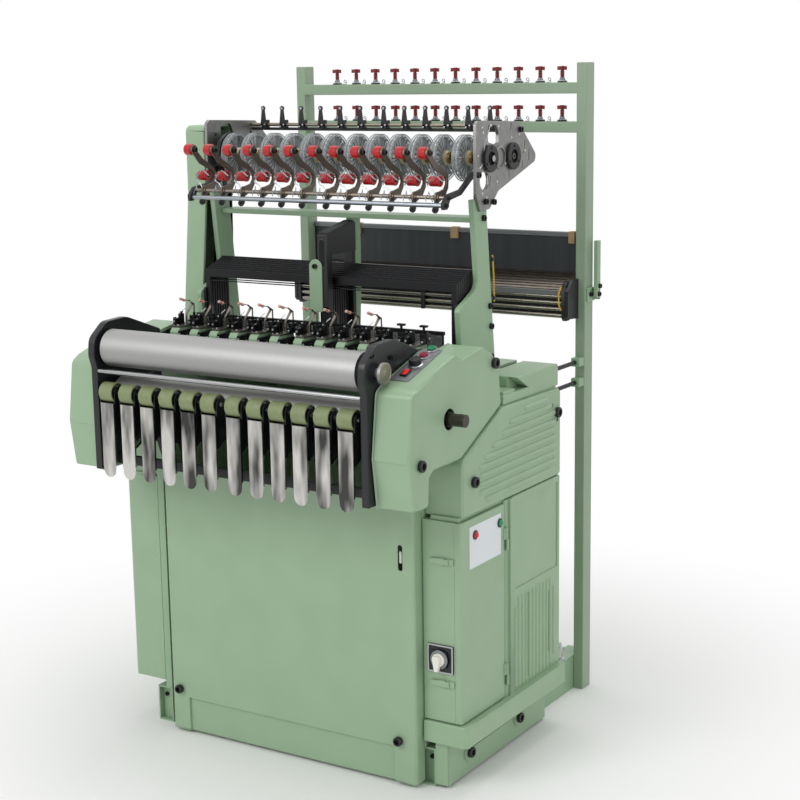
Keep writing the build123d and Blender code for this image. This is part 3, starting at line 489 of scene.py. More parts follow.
soften("toggle_latches", 0.8, panel_enamel)
latch_pins = []
for low, high in solids("toggle_latches"):
    latch_pins += [(high.x - 14, low.y + 3.0, (low.z + high.z) / 2 + dz) for dz in (-4.5, 4.5)]
screws("latch_rivets", latch_pins, FORWARD, 1.9, 2.4, panel_enamel)

switch_low, switch_high = corners("switch_plate")
switch_middle = (switch_low + switch_high) / 2
frame_steel = finish("satin_nickel_frame", "B8BBBC", 0.3, 1.0)
switch_bm = bmesh.new()
half = (switch_high.x - switch_low.x) / 2
frame_y = switch_high.y
opening = half - 4
x, z = switch_middle.x, switch_middle.z
SWITCH_RIM = ((-half, half, opening, half), (-half, half, -half, -opening),
    (-half, -opening, -opening, opening), (opening, half, -opening, opening))
for x0, x1, z0, z1 in SWITCH_RIM:
    blocks(switch_bm, (x + x0, x + x1, frame_y - 5.4, frame_y - 0.1, z + z0, z + z1))
seat("switch_frame", switch_bm, frame_steel, "frame", edge_mm=0.5)
dress("switch_plate", black_moulding)
ivory_moulding = finish("ivory_urea_moulding", "E9E6DC", 0.3)
soften("switch_knob", 1.2, ivory_moulding)
SWITCH_DIAL = [(17.6, 0), (24, 0), (24, 1.6), (22, 2.6), (17.6, 2.6), (17.6, 0)]
dial_bm = lathe(bmesh.new(), SWITCH_DIAL, (x, switch_low.y, z), FORWARD, 40)
dial_grey = finish("grey_switch_dial", "7C8286", 0.4)
seat("switch_dial", dial_bm, dial_grey, "frame")

# Front rollers and their cheeks
# Two black cast cheeks carry a ground steel take-up roller, a steel nip roller below it, bright
# guide bars and the main shaft. Both are turned, so their fine lines run round them, and a dull
# brass dial closes the end of the take-up roller.
black_casting = finish("black_enamelled_casting", "1A1C1E", 0.34)
roughen(black_casting, grains(black_casting, 6, detail=2.0), 0.05)
soften("roller_cheeks", 2.5, black_casting)


def ground_steel(name, colour, roughness, stretch=(0.05, 1, 1)):
    """Turned or ground steel: fine lines, drawn coarse enough to show."""
    material = finish(name, colour, roughness, 1.0)
    lines = grains(material, 1.2, stretch=stretch, detail=4.0)
    shade(material, lines, roughness - 0.06, roughness + 0.08, "Roughness")
    roughen(material, lines, 0.006)
    return material


def tint(obj, material, is_inside):
    """Gives another finish to the faces of a copy whose middle passes a test in mm."""
    obj.data.materials.append(material)
    for polygon in obj.data.polygons:
        if is_inside(polygon.center / MM):
            polygon.material_index = len(obj.data.materials) - 1


roller_steel = ground_steel("satin_roller_steel", "A8A8A7", 0.52, (1, 0.05, 0.05))
bright_steel = ground_steel("bright_drawn_steel", "A9AAAB", 0.24, (0.04, 1, 1))
warm_steel = ground_steel("warm_drawn_steel", "8F877B", 0.3, (0.04, 1, 1))
dark_shaft = ground_steel("oiled_dark_shaft_steel", "55504B", 0.3, (1, 0.05, 0.05))
for name in ("take_up_roller", "nip_roller"):
    dress(name, roller_steel)
dress("feeder_shaft", bright_steel)
dress("main_shaft", dark_shaft)
front_bars = soften("cheek_bars", 0.8, bright_steel, 1)
tint(front_bars, black_casting, lambda p: p.z < 810)
dial_brass = ground_steel("dull_dial_brass", "938E7D", 0.36, (1, 1, 1))
dial_face = bmesh.new()
DIAL = [(0, 0), (24.5, 0), (25, 0.5), (24, 1), (21, 1), (20, 0.3), (14, 0.3), (13, 1), (8, 1), (7, 2.5)]
DIAL += [(0, 2.5)]
lathe(dial_face, DIAL, (corners("take_up_roller")[1].x, -615, 1084), RIGHTWARD, 48)
seat("take_up_dial", dial_face, dial_brass, "take_up")
cheek_face = solids("roller_cheeks")[-1][1].x
cheek_screws = [(cheek_face, -640, 1128), (cheek_face, -560, 1112)]
screws("cheek_screws", cheek_screws, RIGHTWARD, 6, 5, screw_black)

# Release levers, press rollers and tongues
# Twelve olive rubber rollers press the cloth. Each turns in a black forked lever, and a polished
# stainless tongue with a round tip hangs from it as its handle.
head_boxes = solids("press_rollers")
head_places = [(low.x + high.x) / 2 for low, high in head_boxes]
head_pitch = head_places[1] - head_places[0]
LAST_LEFT_HEAD = len(head_places) // 2 - 1
middle_gap = head_places[LAST_LEFT_HEAD + 1] - head_places[LAST_LEFT_HEAD]


def head_row_tree():
    """Sets one head's piece at every head: two even groups with a wider gap between them."""
    sizes = {"Heads": "Int", "Pitch": "Float", "Middle gap": "Float", "First": "Float"}
    tree, given = new_tree("head_row", sizes)
    step = add_node(tree, "ShaderNodeCombineXYZ", {"X": given["Pitch"]}).outputs[0]
    start = add_node(tree, "ShaderNodeCombineXYZ", {"X": given["First"]}).outputs[0]
    line = add_node(tree, "GeometryNodeMeshLine", {"Count": given["Heads"], "Start Location": start,
        "Offset": step})
    index = add_node(tree, "GeometryNodeInputIndex").outputs[0]
    after = add_node(tree, "FunctionNodeCompare", {2: index, 3: LAST_LEFT_HEAD}, data_type="INT",
        operation="GREATER_THAN").outputs[0]
    extra = add_node(tree, "ShaderNodeMath", {0: given["Middle gap"], 1: given["Pitch"]},
        operation="SUBTRACT").outputs[0]
    shift = add_node(tree, "ShaderNodeCombineXYZ", {"X": extra}).outputs[0]
    spaced = add_node(tree, "GeometryNodeSetPosition",
        {"Geometry": line.outputs[0], "Selection": after, "Offset": shift}).outputs[0]
    placed = add_node(tree, "GeometryNodeInstanceOnPoints",
        {"Points": spaced, "Instance": given["Geometry"]})
    end_tree(tree, given, placed.outputs[0])
    return tree


HEAD_ROW = head_row_tree()


def head_row(name, bm, material, body, slot, stands_for=(), shift=0.0, edge_mm=0.0):
    """Repeats a shape drawn at X = 0 at every head."""
    sizes = {"Heads": len(head_places), "Pitch": head_pitch * MM, "Middle gap": middle_gap * MM,
        "First": (head_places[0] + shift) * MM}
    return grow(name, bm, HEAD_ROW, sizes, material, body, stands_for, edge_mm)


olive_rubber = finish("olive_ground_rubber", "7F8A5E", 0.5)
shade(olive_rubber, grains(olive_rubber, 14, detail=4.0), "6E7950", "8A946B")
roughen(olive_rubber, grains(olive_rubber, 0.9), 0.03)
roller_box = head_boxes[0]
roller_half = (roller_box[1].x - roller_box[0].x) / 2
press_radius = (roller_box[1].y - roller_box[0].y) / 2
press_y = (roller_box[1].y + roller_box[0].y) / 2
press_z = (roller_box[1].z + roller_box[0].z) / 2
width, bore = 2 * roller_half, press_radius - 4
roller_end = (-roller_half, press_y, press_z)
SLEEVE = [(bore, 0.6), (press_radius - 1.4, 0), (press_radius, 1.4), (press_radius, width - 1.4)]
SLEEVE += [(press_radius - 1.4, width), (bore, width - 0.6), (bore, 0.6)]
sleeve = lathe(bmesh.new(), SLEEVE, roller_end, RIGHTWARD, 48)
head_row("press_roller_sleeves", sleeve, olive_rubber, "press", "olive_rubber", ["press_rollers"])
CORE = [(0, 1), (8, 1), (8, 3), (18, 4), (bore, 1), (bore, width - 1)]
CORE += [(18, width - 4), (8, width - 3), (8, width - 1), (0, width - 1)]
core = lathe(bmesh.new(), CORE, roller_end, RIGHTWARD)
head_row("press_roller_cores", core, screw_zinc, "press", "olive_rubber")

lever_low = corners("release_levers")[0]
lever_solids = solids("release_levers")
lever_half = (lever_solids[0][1].x - lever_solids[0][0].x) / 2
shaft_low, shaft_high = [box for box in solids("cheek_bars") if box[1].z < 930 and box[0].z > 880][0]
shaft_y, shaft_z = (shaft_low.y + shaft_high.y) / 2, (shaft_low.z + shaft_high.z) / 2
shaft_radius = (shaft_high.z - shaft_low.z) / 2
ARM_THICK = 4.0
black_lever = finish("black_oxide_lever_steel", "1D1F21", 0.38, 0.4)


def arc(centre, radius, start, end, count):
    """Points along an arc, angles in degrees."""
    angles = [math.radians(start + (end - start) * k / (count - 1)) for k in range(count)]
    return [(centre[0] + radius * math.cos(a), centre[1] + radius * math.sin(a)) for a in angles]


tongue_y = lever_low.y + 2.5
arm_outline = [(tongue_y, shaft_z - 36), (tongue_y, press_z - 26)]
arm_outline += arc((press_y, press_z), 16, 185, 20, 9)
arm_outline += arc((shaft_y, shaft_z), shaft_radius + 6, 35, -20, 5)
arm_outline += arc((shaft_y, shaft_z), shaft_radius + 0.4, -20, 200, 9)
arm_outline += [(shaft_y - shaft_radius - 4, shaft_z - 17)]
arms = bmesh.new()
for side in (-1, 1):
    near = side * (lever_half - ARM_THICK)
    plate(arms, arm_outline, "X", min(near, side * lever_half), max(near, side * lever_half))
blocks(arms, (-lever_half, lever_half, tongue_y, tongue_y + 4, shaft_z - 36, press_z - 26))
head_row("lever_forks", arms, black_lever, "frame", "stainless", ["release_levers"], edge_mm=0.5)

axle_ends = bmesh.new()
rod(axle_ends, 5.5, (lever_half, press_y, press_z), (lever_half + 3.2, press_y, press_z), 16, 0.6)
rod(axle_ends, 8.5, (lever_half, shaft_y, shaft_z), (lever_half + 3.0, shaft_y, shaft_z), 20, 0.6)
head_row("lever_screws", axle_ends, screw_zinc, "frame", "stainless")

TONGUE_HALF = 21.2
tip_z = lever_low.z + TONGUE_HALF
wall_foot, wall_top = tip_z + 14, press_z - 26
outline = [(TONGUE_HALF, wall_top), (-TONGUE_HALF, wall_top), (-TONGUE_HALF, wall_foot)]
outline += arc((0, tip_z), TONGUE_HALF - 1.5, 180, 360, 17) + [(TONGUE_HALF, wall_foot)]
tongue = plate(bmesh.new(), outline, "Y", lever_low.y, lever_low.y + 1.6)
for side in (-1, 1):
    x0, x1 = sorted((side * TONGUE_HALF, side * (TONGUE_HALF - 1.4)))
    blocks(tongue, (x0, x1, lever_low.y, tongue_y + 3.5, wall_foot, wall_top))
# The tongues' colour moves between dark and light in long stretched patches: partly polishing streaks,
# partly painted reflections.
polished = ground_steel("polished_stainless_sheet", "9A9996", 0.24, (1, 1, 0.04))
streaks_and_reflections = grains(polished, 60, stretch=(1.6, 1, 0.35), detail=2.0)
strong_streaks_and_reflections = add_node(polished.node_tree, "ShaderNodeMapRange", {0: streaks_and_reflections, 1: 0.37, 2: 0.63}).outputs[0]
shade(polished, strong_streaks_and_reflections, "4A4A49", "D8D6D2")
head_row("lever_tongues", tongue, polished, "frame", "stainless", edge_mm=0.4)

# Pressed ribs of the side panels
# Long ribs stiffen and cool the sheet sides. Each is half round with ends that run out into the
# sheet, so Geometry Nodes sweeps a circle along a path whose two ends dive under the surface.
def sweep_tree():
    """Edges become round bars: each run is a curve with rounded corners and a thickness."""
    tree, given = new_tree("swept_paths", {"Radius": "Float", "Corner": "Float", "Sides": "Int"})
    curve = add_node(tree, "GeometryNodeMeshToCurve", {0: given["Geometry"]}).outputs[0]
    eased = add_node(tree, "GeometryNodeFilletCurve",
        {"Curve": curve, "Radius": given["Corner"], "Count": 4, "Limit Radius": True},
        mode="POLY").outputs[0]
    circle = add_node(tree, "GeometryNodeCurvePrimitiveCircle",
        {"Resolution": given["Sides"], "Radius": given["Radius"]}).outputs[0]
    inputs = {"Curve": eased, "Profile Curve": circle, "Fill Caps": True}
    swept = add_node(tree, "GeometryNodeCurveToMesh", inputs).outputs[0]
    end_tree(tree, given, swept)
    return tree


SWEEP = sweep_tree()


def wires(name, paths, radius, material, body, corner=3.0, sides=10, stands_for=()):
    """Round bars along paths given by their points, in mm."""
    bm = bmesh.new()
    for path in paths:
        verts = [bm.verts.new(point) for point in path]
        for first, second in zip(verts, verts[1:]):
            bm.edges.new((first, second))
    sizes = {"Radius": radius * MM, "Corner": corner * MM, "Sides": sides}
    return grow(name, bm, SWEEP, sizes, material, body, stands_for)


cover_low, cover_high = corners("louvred_covers")
sheet_x = cover_high.x - 4.0
soften("louvred_covers", 4.0, panel_enamel, 3, lambda p: abs(p.x) > sheet_x + 0.3)
RIB_COUNT, RIB_PITCH, RIB_FOOT = 10, 21.3, 727.0
RIB_SINK, RIB_DIVE = 2.6, 7
SLANT_FOOT, SLANT_RUN, SLANT_RISE = 842, 211, 99
rib_paths = []
for k in range(RIB_COUNT):
    z = RIB_FOOT + RIB_PITCH * k
    step = 30 if k in (0, RIB_COUNT - 1) else 0
    front = cover_low.y + 82 + step + max(0.0, (z + 20 - SLANT_FOOT) * SLANT_RUN / SLANT_RISE)
    rear = cover_high.y - 32 - (22 if k in (0, 8) else 48 if k == 9 else 0)
    for side in (-1, 1):
        x, deep = side * (sheet_x - RIB_SINK), side * (sheet_x - RIB_SINK - RIB_DIVE)
        rib_paths.append([(deep, front - 4, z), (x, front + 5, z), (x, rear - 5, z), (deep, rear + 4, z)])
wires("louvre_ribs", rib_paths, 7.2, panel_enamel, "frame", corner=9.0, sides=18)

soften("right_casing", 3.0, panel_enamel, 3,
    lambda p: p.x > sheet_x + 0.3 and -162 < p.y < 62 and 190 < p.z < 430)
grille_paths = []
GRILLE_COUNT, GRILLE_PITCH, GRILLE_FRONT = 12, 19.8, -150.0
x, deep = sheet_x - RIB_SINK, sheet_x - RIB_SINK - RIB_DIVE
for k in range(GRILLE_COUNT):
    y = GRILLE_FRONT + GRILLE_PITCH * k
    low = 208.0 if k == GRILLE_COUNT - 1 else 182.0
    high = 406.0 if k in (0, GRILLE_COUNT - 1) else 432.0
    grille_paths.append([(deep, y, low - 4), (x, y, low + 5), (x, y, high - 5), (deep, y, high + 4)])
wires("grille_ribs", grille_paths, 6.4, panel_enamel, "frame", corner=9.0, sides=18)

# Seals between the covers
# Folded strips and pads of the same painted sheet close the gaps where covers, housings and door
# meet. A narrow upright strip closes the lower front corner of the right ledge.
seals = blocks(bmesh.new(), (440, 519, -424, 104, 694, 705), (-519, -440, -424, 104, 694, 705))
SIDE_PADS = ((421, 490, -122, -62, 966, 1000), (470, 516, -190, -130, 965, 974),
    (440, 516, -194, 102, 930, 946))
for side in (-1, 1):
    for near, far, *rest in SIDE_PADS:
        blocks(seals, (*sorted((side * near, side * far)), *rest))
seat("cover_seals", seals, panel_enamel, "frame", edge_mm=0.8)
LEDGE_CORNER = [(540.3, -437.3), (548.3, -429.3), (546.8, -427.8), (538.8, -435.8)]
corner_bm = plate(bmesh.new(), LEDGE_CORNER, "Z", 123.5, 172.8)
seat("ledge_corner", corner_bm, panel_enamel, "frame")

# Weaving heads
# Each green nose of the breast beam carries a long steel guide plate with black clamp blocks at
# both sides and bright screws. On ten heads a bent steel strip with two pink ceramic eyes feels
# the weft, and the last two carry only black fork holders.
soften("breast_beam", 1.6, sage_enamel)
head_steel = ground_steel("ground_guide_steel", "7A746C", 0.36, (1, 0.05, 1))
black_block = finish("black_oxide_block_steel", "161719", 0.34, 0.5)
head_top = corners("head_clamps")[0].z
guide_plate = blocks(bmesh.new(), (-13, 13, -384, -374, head_top, head_top + 5))
for x0, x1 in ((-13, -1.2), (1.2, 13)):
    blocks(guide_plate, (x0, x1, -374, -330, head_top, head_top + 5))
blocks(guide_plate, (-13, 13, -330, -300, head_top, head_top + 6))
head_row("guide_plates", guide_plate, head_steel, "frame", "dark_steel", ["head_clamps"], edge_mm=0.4)
CLAMP_BLOCKS = ((-23, -13.5, -372, -352, -4, 22), (-21, -12, -352, -336, 4, 32),
    (-26, -23, -368, -356, 8, 24), (-19, -14, -346, -340, 30, 38), (6, 22, -338, -318, 4, 28),
    (10, 20, -350, -338, 4, 18), (13, 17, -332, -324, 26, 36), (13, 22, -396, -330, -34, -6),
    (14, 27, -384, -366, -28, -12))
clamp = bmesh.new()
for *sides, z0, z1 in CLAMP_BLOCKS:
    blocks(clamp, (*sides, head_top + z0, head_top + z1))
head_row("head_clamp_blocks", clamp, black_block, "frame", "dark_steel", edge_mm=0.8)
clamp_pins = bmesh.new()
PIN = [(0, 0), (3.0, 0), (3.0, 2.2), (2.3, 3.0), (1.4, 3.0), (1.4, 1.2), (0, 1.2)]
UPWARD = (0, 0, 1)
PIN_PLACES = ((-18, -372, 2, FORWARD), (-18, -372, 14, FORWARD), (-17, -349, 32, UPWARD),
    (22, -328, 16, RIGHTWARD), (16, -350, 10, FORWARD), (27, -375, -20, RIGHTWARD),
    (18, -396, -14, FORWARD), (0, -379, 5, UPWARD))
for x, y, z, axis in PIN_PLACES:
    lathe(clamp_pins, PIN, (x, y, head_top + z), axis, 12)
head_row("clamp_screws", clamp_pins, screw_zinc, "frame", "dark_steel")

feeler_steel = ground_steel("bent_feeler_steel", "8B847C", 0.3)
strips, fingers, eyes = bmesh.new(), [], bmesh.new()
FEELER = [(-346, 5), (-346, 32), (-319, 58), (-334, 68)]
EYE = [(0.8, -4), (3.2, -4), (4.0, -2), (4.0, 2), (3.2, 4), (0.8, 4), (0.8, -4)]
feeler_heads, fork_heads = head_places[:10], head_places[10:]
for x in feeler_heads:
    tip = [(x + 3, -334, head_top + 67), (x + 1, -352, head_top + 70), (x - 1, -362, head_top + 74)]
    fingers.append(tip)
    widths = [2.4, 2.4, 4.6, 3.0]
    for (y0, z0), (y1, z1), w0, w1 in zip(FEELER, FEELER[1:], widths, widths[1:]):
        ends = []
        for y, z, w in ((y0, z0, w0), (y1, z1, w1)):
            for dx, dy in ((-w, -0.8), (w, -0.8), (w, 0.8), (-w, 0.8)):
                ends.append(strips.verts.new((x + 3 + dx, y + dy, head_top + z)))
        for k in range(4):
            after = (k + 1) % 4
            strips.faces.new([ends[k], ends[after], ends[4 + after], ends[4 + k]])
        strips.faces.new(ends[:4])
        strips.faces.new(ends[4:])
    for middle in tip[1:]:
        lathe(eyes, EYE, middle, Vector((-0.1, -1, 0.3)).normalized(), 14)
seat("feeler_strips", strips, feeler_steel, "frame")
wires("feeler_fingers", fingers, 1.1, feeler_steel, "frame", sides=8)
pink_ceramic = finish("pink_sintered_ceramic", "D9A698", 0.25)
seat("feeler_eyes", eyes, pink_ceramic, "frame")
springs, needles = [], []
for x in feeler_heads:
    springs.append([(x + 15, -328, head_top + 34), (x + 9, -320, head_top + 58)])
    needle = [(x - 12, -343, head_top + 36), (x - 6, -350, head_top + 42), (x - 2, -338, head_top + 50)]
    needles.append(needle)
wires("feeler_springs", springs, 1.9, black_block, "frame", sides=8)
wires("stitch_needle_wires", needles, 1.1, screw_zinc, "frame", sides=8)
tees = bmesh.new()
for x in fork_heads:
    blocks(
        tees,
        (x + 8, x + 12, -335, -328, head_top + 20, head_top + 44),
        (x, x + 20, -337, -326, head_top + 44, head_top + 49),
    )
seat("weft_fork_holders", tees, black_block, "frame", edge_mm=0.4)

# Sley with its reeds
# The sley is a light alloy beam on two swords. Each head has a reed: fine flat steel dents
# soldered between two black caps, which Geometry Nodes sets at an even pitch.
milled_alloy = ground_steel("milled_sley_alloy", "A9ABAD", 0.36)
sley_low, sley_high = corners("sley")
sley_y = -262.0
reed_low = 1052.0


def bar_tree():
    """Every point becomes one straight bar of the given size."""
    tree, given = new_tree("bars_on_points", {"Size": "Vector"})
    cube = add_node(tree, "GeometryNodeMeshCube", {"Size": given["Size"]}).outputs[0]
    inputs = {"Points": given["Geometry"], "Instance": cube}
    end_tree(tree, given, add_node(tree, "GeometryNodeInstanceOnPoints", inputs).outputs[0])
    return tree


BARS = bar_tree()


def bars(name, points, size, material, body, stands_for=()):
    """Equal bars centred on the given points, in mm."""
    sizes = {"Size": tuple(s * MM for s in size)}
    return grow(name, dots(points), BARS, sizes, material, body, stands_for)


beam = bmesh.new()
sword_x = sley_high.x - 54.0
blocks(beam, (-sword_x - 12, sword_x + 12, sley_y - 7, sley_y + 7, 1022, 1052))
for side in (-1, 1):
    x = side * sword_x
    blocks(beam, (x - 6, x + 6, sley_y - 7, sley_y + 7, 632, 1022))
rod(beam, 13, (sley_low.x, sley_y, 620), (sley_high.x, sley_y, 620), 32, 0.5)
for side in (-1, 1):
    rod(beam, 22, (side * sword_x - 10, sley_y, 620), (side * sword_x + 10, sley_y, 620), 32, 1)
seat("sley_beam", beam, milled_alloy, "sley", ["sley"], edge_mm=0.8)
caps = bmesh.new()
reed_high = sley_high.z - 14
for x in head_places:
    blocks(caps, (x - 25, x + 25, sley_y - 4, sley_y + 4, reed_low, reed_low + 12))
    for post_x in (x - 23.5, x + 23.5):
        blocks(caps, (post_x - 1.5, post_x + 1.5, sley_y - 3, sley_y + 3, reed_low, reed_high))
blocks(caps, (head_places[0] - 27, head_places[-1] + 27, sley_y - 5, sley_y + 5, reed_high - 9, reed_high))
seat("reed_caps", caps, black_block, "sley", edge_mm=0.6)
dent_z = (reed_low + 12 + reed_high - 9) / 2
dent_points = [(x - 21.6 + 1.2 * k, sley_y, dent_z) for x in head_places for k in range(37)]
dent_size = (0.35, 3.2, reed_high - reed_low - 19)
bars("reed_dents", dent_points, dent_size, bright_steel, "sley")

# Heald frames and their guides
# Eight black anodised alloy frames rise and fall in slotted black combs and round a black centre
# guide. Inside each frame two thin black rods carry the healds. A slot with a grey rim runs down
# the front of the centre guide, and a near-black plate in it is painted shade for its depth.
black_anodised = finish("black_anodised_alloy", "131417", 0.34, 0.35)
roughen(black_anodised, grains(black_anodised, 1.0, stretch=(0.05, 1, 1)), 0.01)
for k in range(8):
    name = f"heald_frame_{k + 1}"
    soften(name, 1.0, black_anodised, 1)
    low, high = corners(name)
    middle_y = (low.y + high.y) / 2
    rods = []
    for z in (low.z + 32, high.z - 32):
        for x0, x1 in ((low.x + 15, -17), (17, high.x - 15)):
            rods.append([(x0, middle_y, z), (x1, middle_y, z)])
    wires(f"heald_rods_{k + 1}", rods, 1.6, black_anodised, f"heald_{k + 1}", sides=8)
soften("heald_guides", 0.6, black_moulding, 1)
soften("centre_guide", 2.5, black_moulding)
guide_low, guide_high = corners("centre_guide")
cheek_plate = bmesh.new()
crown = [(-244, 1300), (-244, 1350), (-236, 1357), (-118, 1379), (-110, 1374), (-110, 1300)]
plate(cheek_plate, crown, "X", guide_high.x - 2, guide_high.x + 1)
seat("centre_guide_cheek", cheek_plate, black_moulding, "frame", edge_mm=0.4)
# This near-black finish is painted shade: flat plates in slots, holes and bores stand in for their dark
# depth.
deep_shadow = finish("dark_slot_inside", "08090A", 0.85)
guide_rim = finish("worn_guide_rim", "3A3C3E", 0.4)
slot_x = (guide_low.x + guide_high.x) / 2
# The slot is a grey rim round a near-black plate whose colour is painted shade.
GUIDE_SLOT = (("centre_guide_rim", 11, guide_rim, 0.5), ("centre_guide_slot", 9, deep_shadow, 0.8))
for name, half, material, lift in GUIDE_SLOT:
    slot = bmesh.new()
    outline = arc((slot_x, 1331), half, 0, 180, 9) + arc((slot_x, 1275), half, 180, 360, 9)
    plate(slot, outline, "Y", guide_low.y - lift, guide_low.y + 0.5)
    seat(name, slot, material, "frame")

# Portal
# Two bent steel posts and a hanging centre post carry the yarn feeder on a cross beam. They are
# flame-cut plate with the machine's green enamel, held by black screws.
soften("portal_posts", 1.8, sage_enamel)
soften("portal_beam", 1.5, sage_enamel)
screws("strap_screws", [(-4, -250, 1271)], FORWARD, 6.5, 6, screw_black)
screws("centre_post_screws", [(8, -105, 1370), (8, -105, 1235)], FORWARD, 5.5, 5, screw_black)

# Feeder side plates
# Two plates are milled from aluminium and bolted to the posts, each with a window and a round hole
# cut through. The right one also has short slots, small drill holes, a groove and two black flanged
# nuts round the shaft ends. Pale discs on its drill holes and pale floors in its slots are painted
# light seen through them, dark discs on the left plate's holes are painted shade, and a bright
# zinc bar along the groove is a painted highlight on its edge.
milled_plate = finish("milled_aluminium_plate", "8B8B8A", 0.42, 1.0)
shade(milled_plate, grains(milled_plate, 22, detail=5.0), "7C7C7B", "A0A09E")
roughen(milled_plate, grains(milled_plate, 0.9, stretch=(1, 0.06, 1)), 0.008)
PLATE_INNER = post_face
PLATE_THICK = 9.0


def rounded(points, radii, steps=5):
    """An outline whose corners are rounded to their own radius."""
    outline = []
    for k, (point, radius) in enumerate(zip(points, radii)):
        here = Vector(point)
        before = (Vector(points[k - 1]) - here).normalized()
        after = (Vector(points[(k + 1) % len(points)]) - here).normalized()
        if radius <= 0:
            outline.append((here.x, here.y))
            continue
        half = before.angle(after) / 2
        reach = radius / math.tan(half)
        middle = here + (before + after).normalized() * (radius / math.sin(half))
        start, end = here + before * reach - middle, here + after * reach - middle
        first = math.atan2(start.y, start.x)
        swing = math.remainder(math.atan2(end.y, end.x) - first, 2 * math.pi)
        for step in range(steps + 1):
            angle = first + swing * step / steps
            outline.append((middle.x + radius * math.cos(angle), middle.y + radius * math.sin(angle)))
    return outline


def carve(obj, cutter):
    """Cuts a shape in mm out of a finished piece."""
    chamfer(cutter, 0)
    tool = as_object(obj.name + "_cutter", cutter)
    modifier = obj.modifiers.new("carve", "BOOLEAN")
    modifier.object = tool
    modifier.solver = "EXACT"
    smooth(finished(obj))
    bpy.data.objects.remove(tool)


PLATE_POINTS = [(-146, 1641), (64, 1633), (90, 1612), (164, 1545), (158, 1526), (-43, 1462), (-89, 1420)]
PLATE_POINTS += [(-137, 1416), (-158, 1461), (-160, 1560), (-158, 1632)]
PLATE_RADII = [8, 10, 12, 16, 14, 24, 6, 8, 10, 40, 8]
WINDOW = [(-97, 1629), (-54, 1628), (-41, 1604), (-43, 1582), (-60, 1579), (-98, 1586)]
SLOTS = (((99, 1581), (91, 1553)), ((122, 1557), (119, 1533)), ((85, 1530), (83, 1515)),
    ((11, 1508), (11, 1490)), ((24, 1627), (19, 1615)), ((-87, 1499), (-92, 1480)))
SLOT_FLOORS = ((84, 105, 1547, 1587), (113, 128, 1527, 1563), (78, 90, 1511, 1534), (6, 16, 1485, 1513),
    (14, 29, 1610, 1631), (-97, -82, 1475, 1504))
RIGHT_HOLES = ((-127, 1624), (-122, 1611), (28, 1593), (-148, 1555), (-99, 1582), (-5, 1529),
    (-50, 1486), (-127, 1461), (102, 1557), (-42, 1624), (-105, 1449), (70, 1600))
LEFT_HOLES = ((-120, 1600), (-60, 1618), (40, 1600), (-140, 1470), (120, 1560))
for side in (-1, 1):
    x0, x1 = sorted((side * PLATE_INNER, side * (PLATE_INNER + PLATE_THICK)))
    shape = plate(bmesh.new(), rounded(PLATE_POINTS, PLATE_RADII), "X", x0, x1)
    name = "right_feeder_plate" if side > 0 else "left_feeder_plate"
    stands_for = ["feeder_side_plates"] if side > 0 else ()
    made = seat(name, shape, milled_plate, "frame", stands_for, edge_mm=1.2)
    cuts = bmesh.new()
    low, high = x0 - 3, x1 + 3
    plate(cuts, arc((-117, 1492), 24, 0, 345, 24), "X", low, high)
    plate(cuts, rounded(WINDOW, [8, 8, 10, 5, 5, 8]), "X", low, high)
    if side > 0:
        for start, end in SLOTS:
            a, b = Vector(start), Vector(end)
            angle = math.degrees(math.atan2((b - a).y, (b - a).x))
            ends = arc(b, 3.2, angle - 90, angle + 90, 6) + arc(a, 3.2, angle + 90, angle + 270, 6)
            plate(cuts, ends, "X", low, high)
    carve(made, cuts)
# Dark discs on the left plate are painted shade in its holes; pale discs and slot floors on the right plate
# are painted light seen through its holes and slots.
hole_shade_discs, painted_hole_light = bmesh.new(), bmesh.new()
for y, z in RIGHT_HOLES:
    lathe(painted_hole_light, [(0, 0), (3, 0), (3, 0.3), (0, 0.3)], (plate_face, y, z), RIGHTWARD, 12)
for floor_box in SLOT_FLOORS:
    blocks(painted_hole_light, (PLATE_INNER + 5.6, PLATE_INNER + 6.4, *floor_box))
for y, z in LEFT_HOLES:
    lathe(hole_shade_discs, [(0, 0), (5, 0), (5, 0.3), (0, 0.3)], (-PLATE_INNER, y, z), RIGHTWARD, 14)
# A bright zinc bar along the groove is a painted highlight on the groove's edge.
groove = [(-83, 1631), (-99, 1604), (-115, 1580), (-120, 1556), (-120, 1536), (-141, 1522)]
seat("drilled_holes", hole_shade_discs, deep_shadow, "frame")
hole_light_finish = finish("bright_machined_inside", "D6D7D7", 0.5)
seat("drilled_bright_holes", painted_hole_light, hole_light_finish, "frame")
groove_highlight_paths = [[(plate_face - 0.4, y, z) for y, z in groove]]
wires("plate_groove", groove_highlight_paths, 1.3, screw_zinc, "frame", corner=14.0, sides=8)

hub_rings, bore_shade_discs, hub_shafts = bmesh.new(), bmesh.new(), bmesh.new()
SHAFT_Z = 1546.0
FLANGE_NUT = [(17, 0), (33.5, 0), (34.5, 1.5), (34.5, 7), (33, 9), (19, 9), (17, 7.5), (17, 0)]
SHAFT_END = [(0, 1), (8.5, 1), (8.5, 6), (7.5, 7), (3, 7), (3, 4), (0, 4)]
for y in (-92.0, 29.0):
    hub = (plate_face, y, SHAFT_Z)
    lathe(hub_rings, FLANGE_NUT, hub, RIGHTWARD, 48)
    for k in range(3):
        angle = math.radians(90 + 120 * k)
        place = (plate_face + 9, y + 26 * math.cos(angle), SHAFT_Z + 26 * math.sin(angle))
        lathe(hub_rings, [(0, 0), (3.4, 0), (3.4, 1.6), (0, 1.6)], place, RIGHTWARD, 12)
    # A near-black disc in each nut's bore is painted shade.
    lathe(bore_shade_discs, [(0, 0.5), (17, 0.5), (17, 1.5), (0, 1.5)], hub, RIGHTWARD, 32)
    lathe(hub_shafts, SHAFT_END, hub, RIGHTWARD, 24)
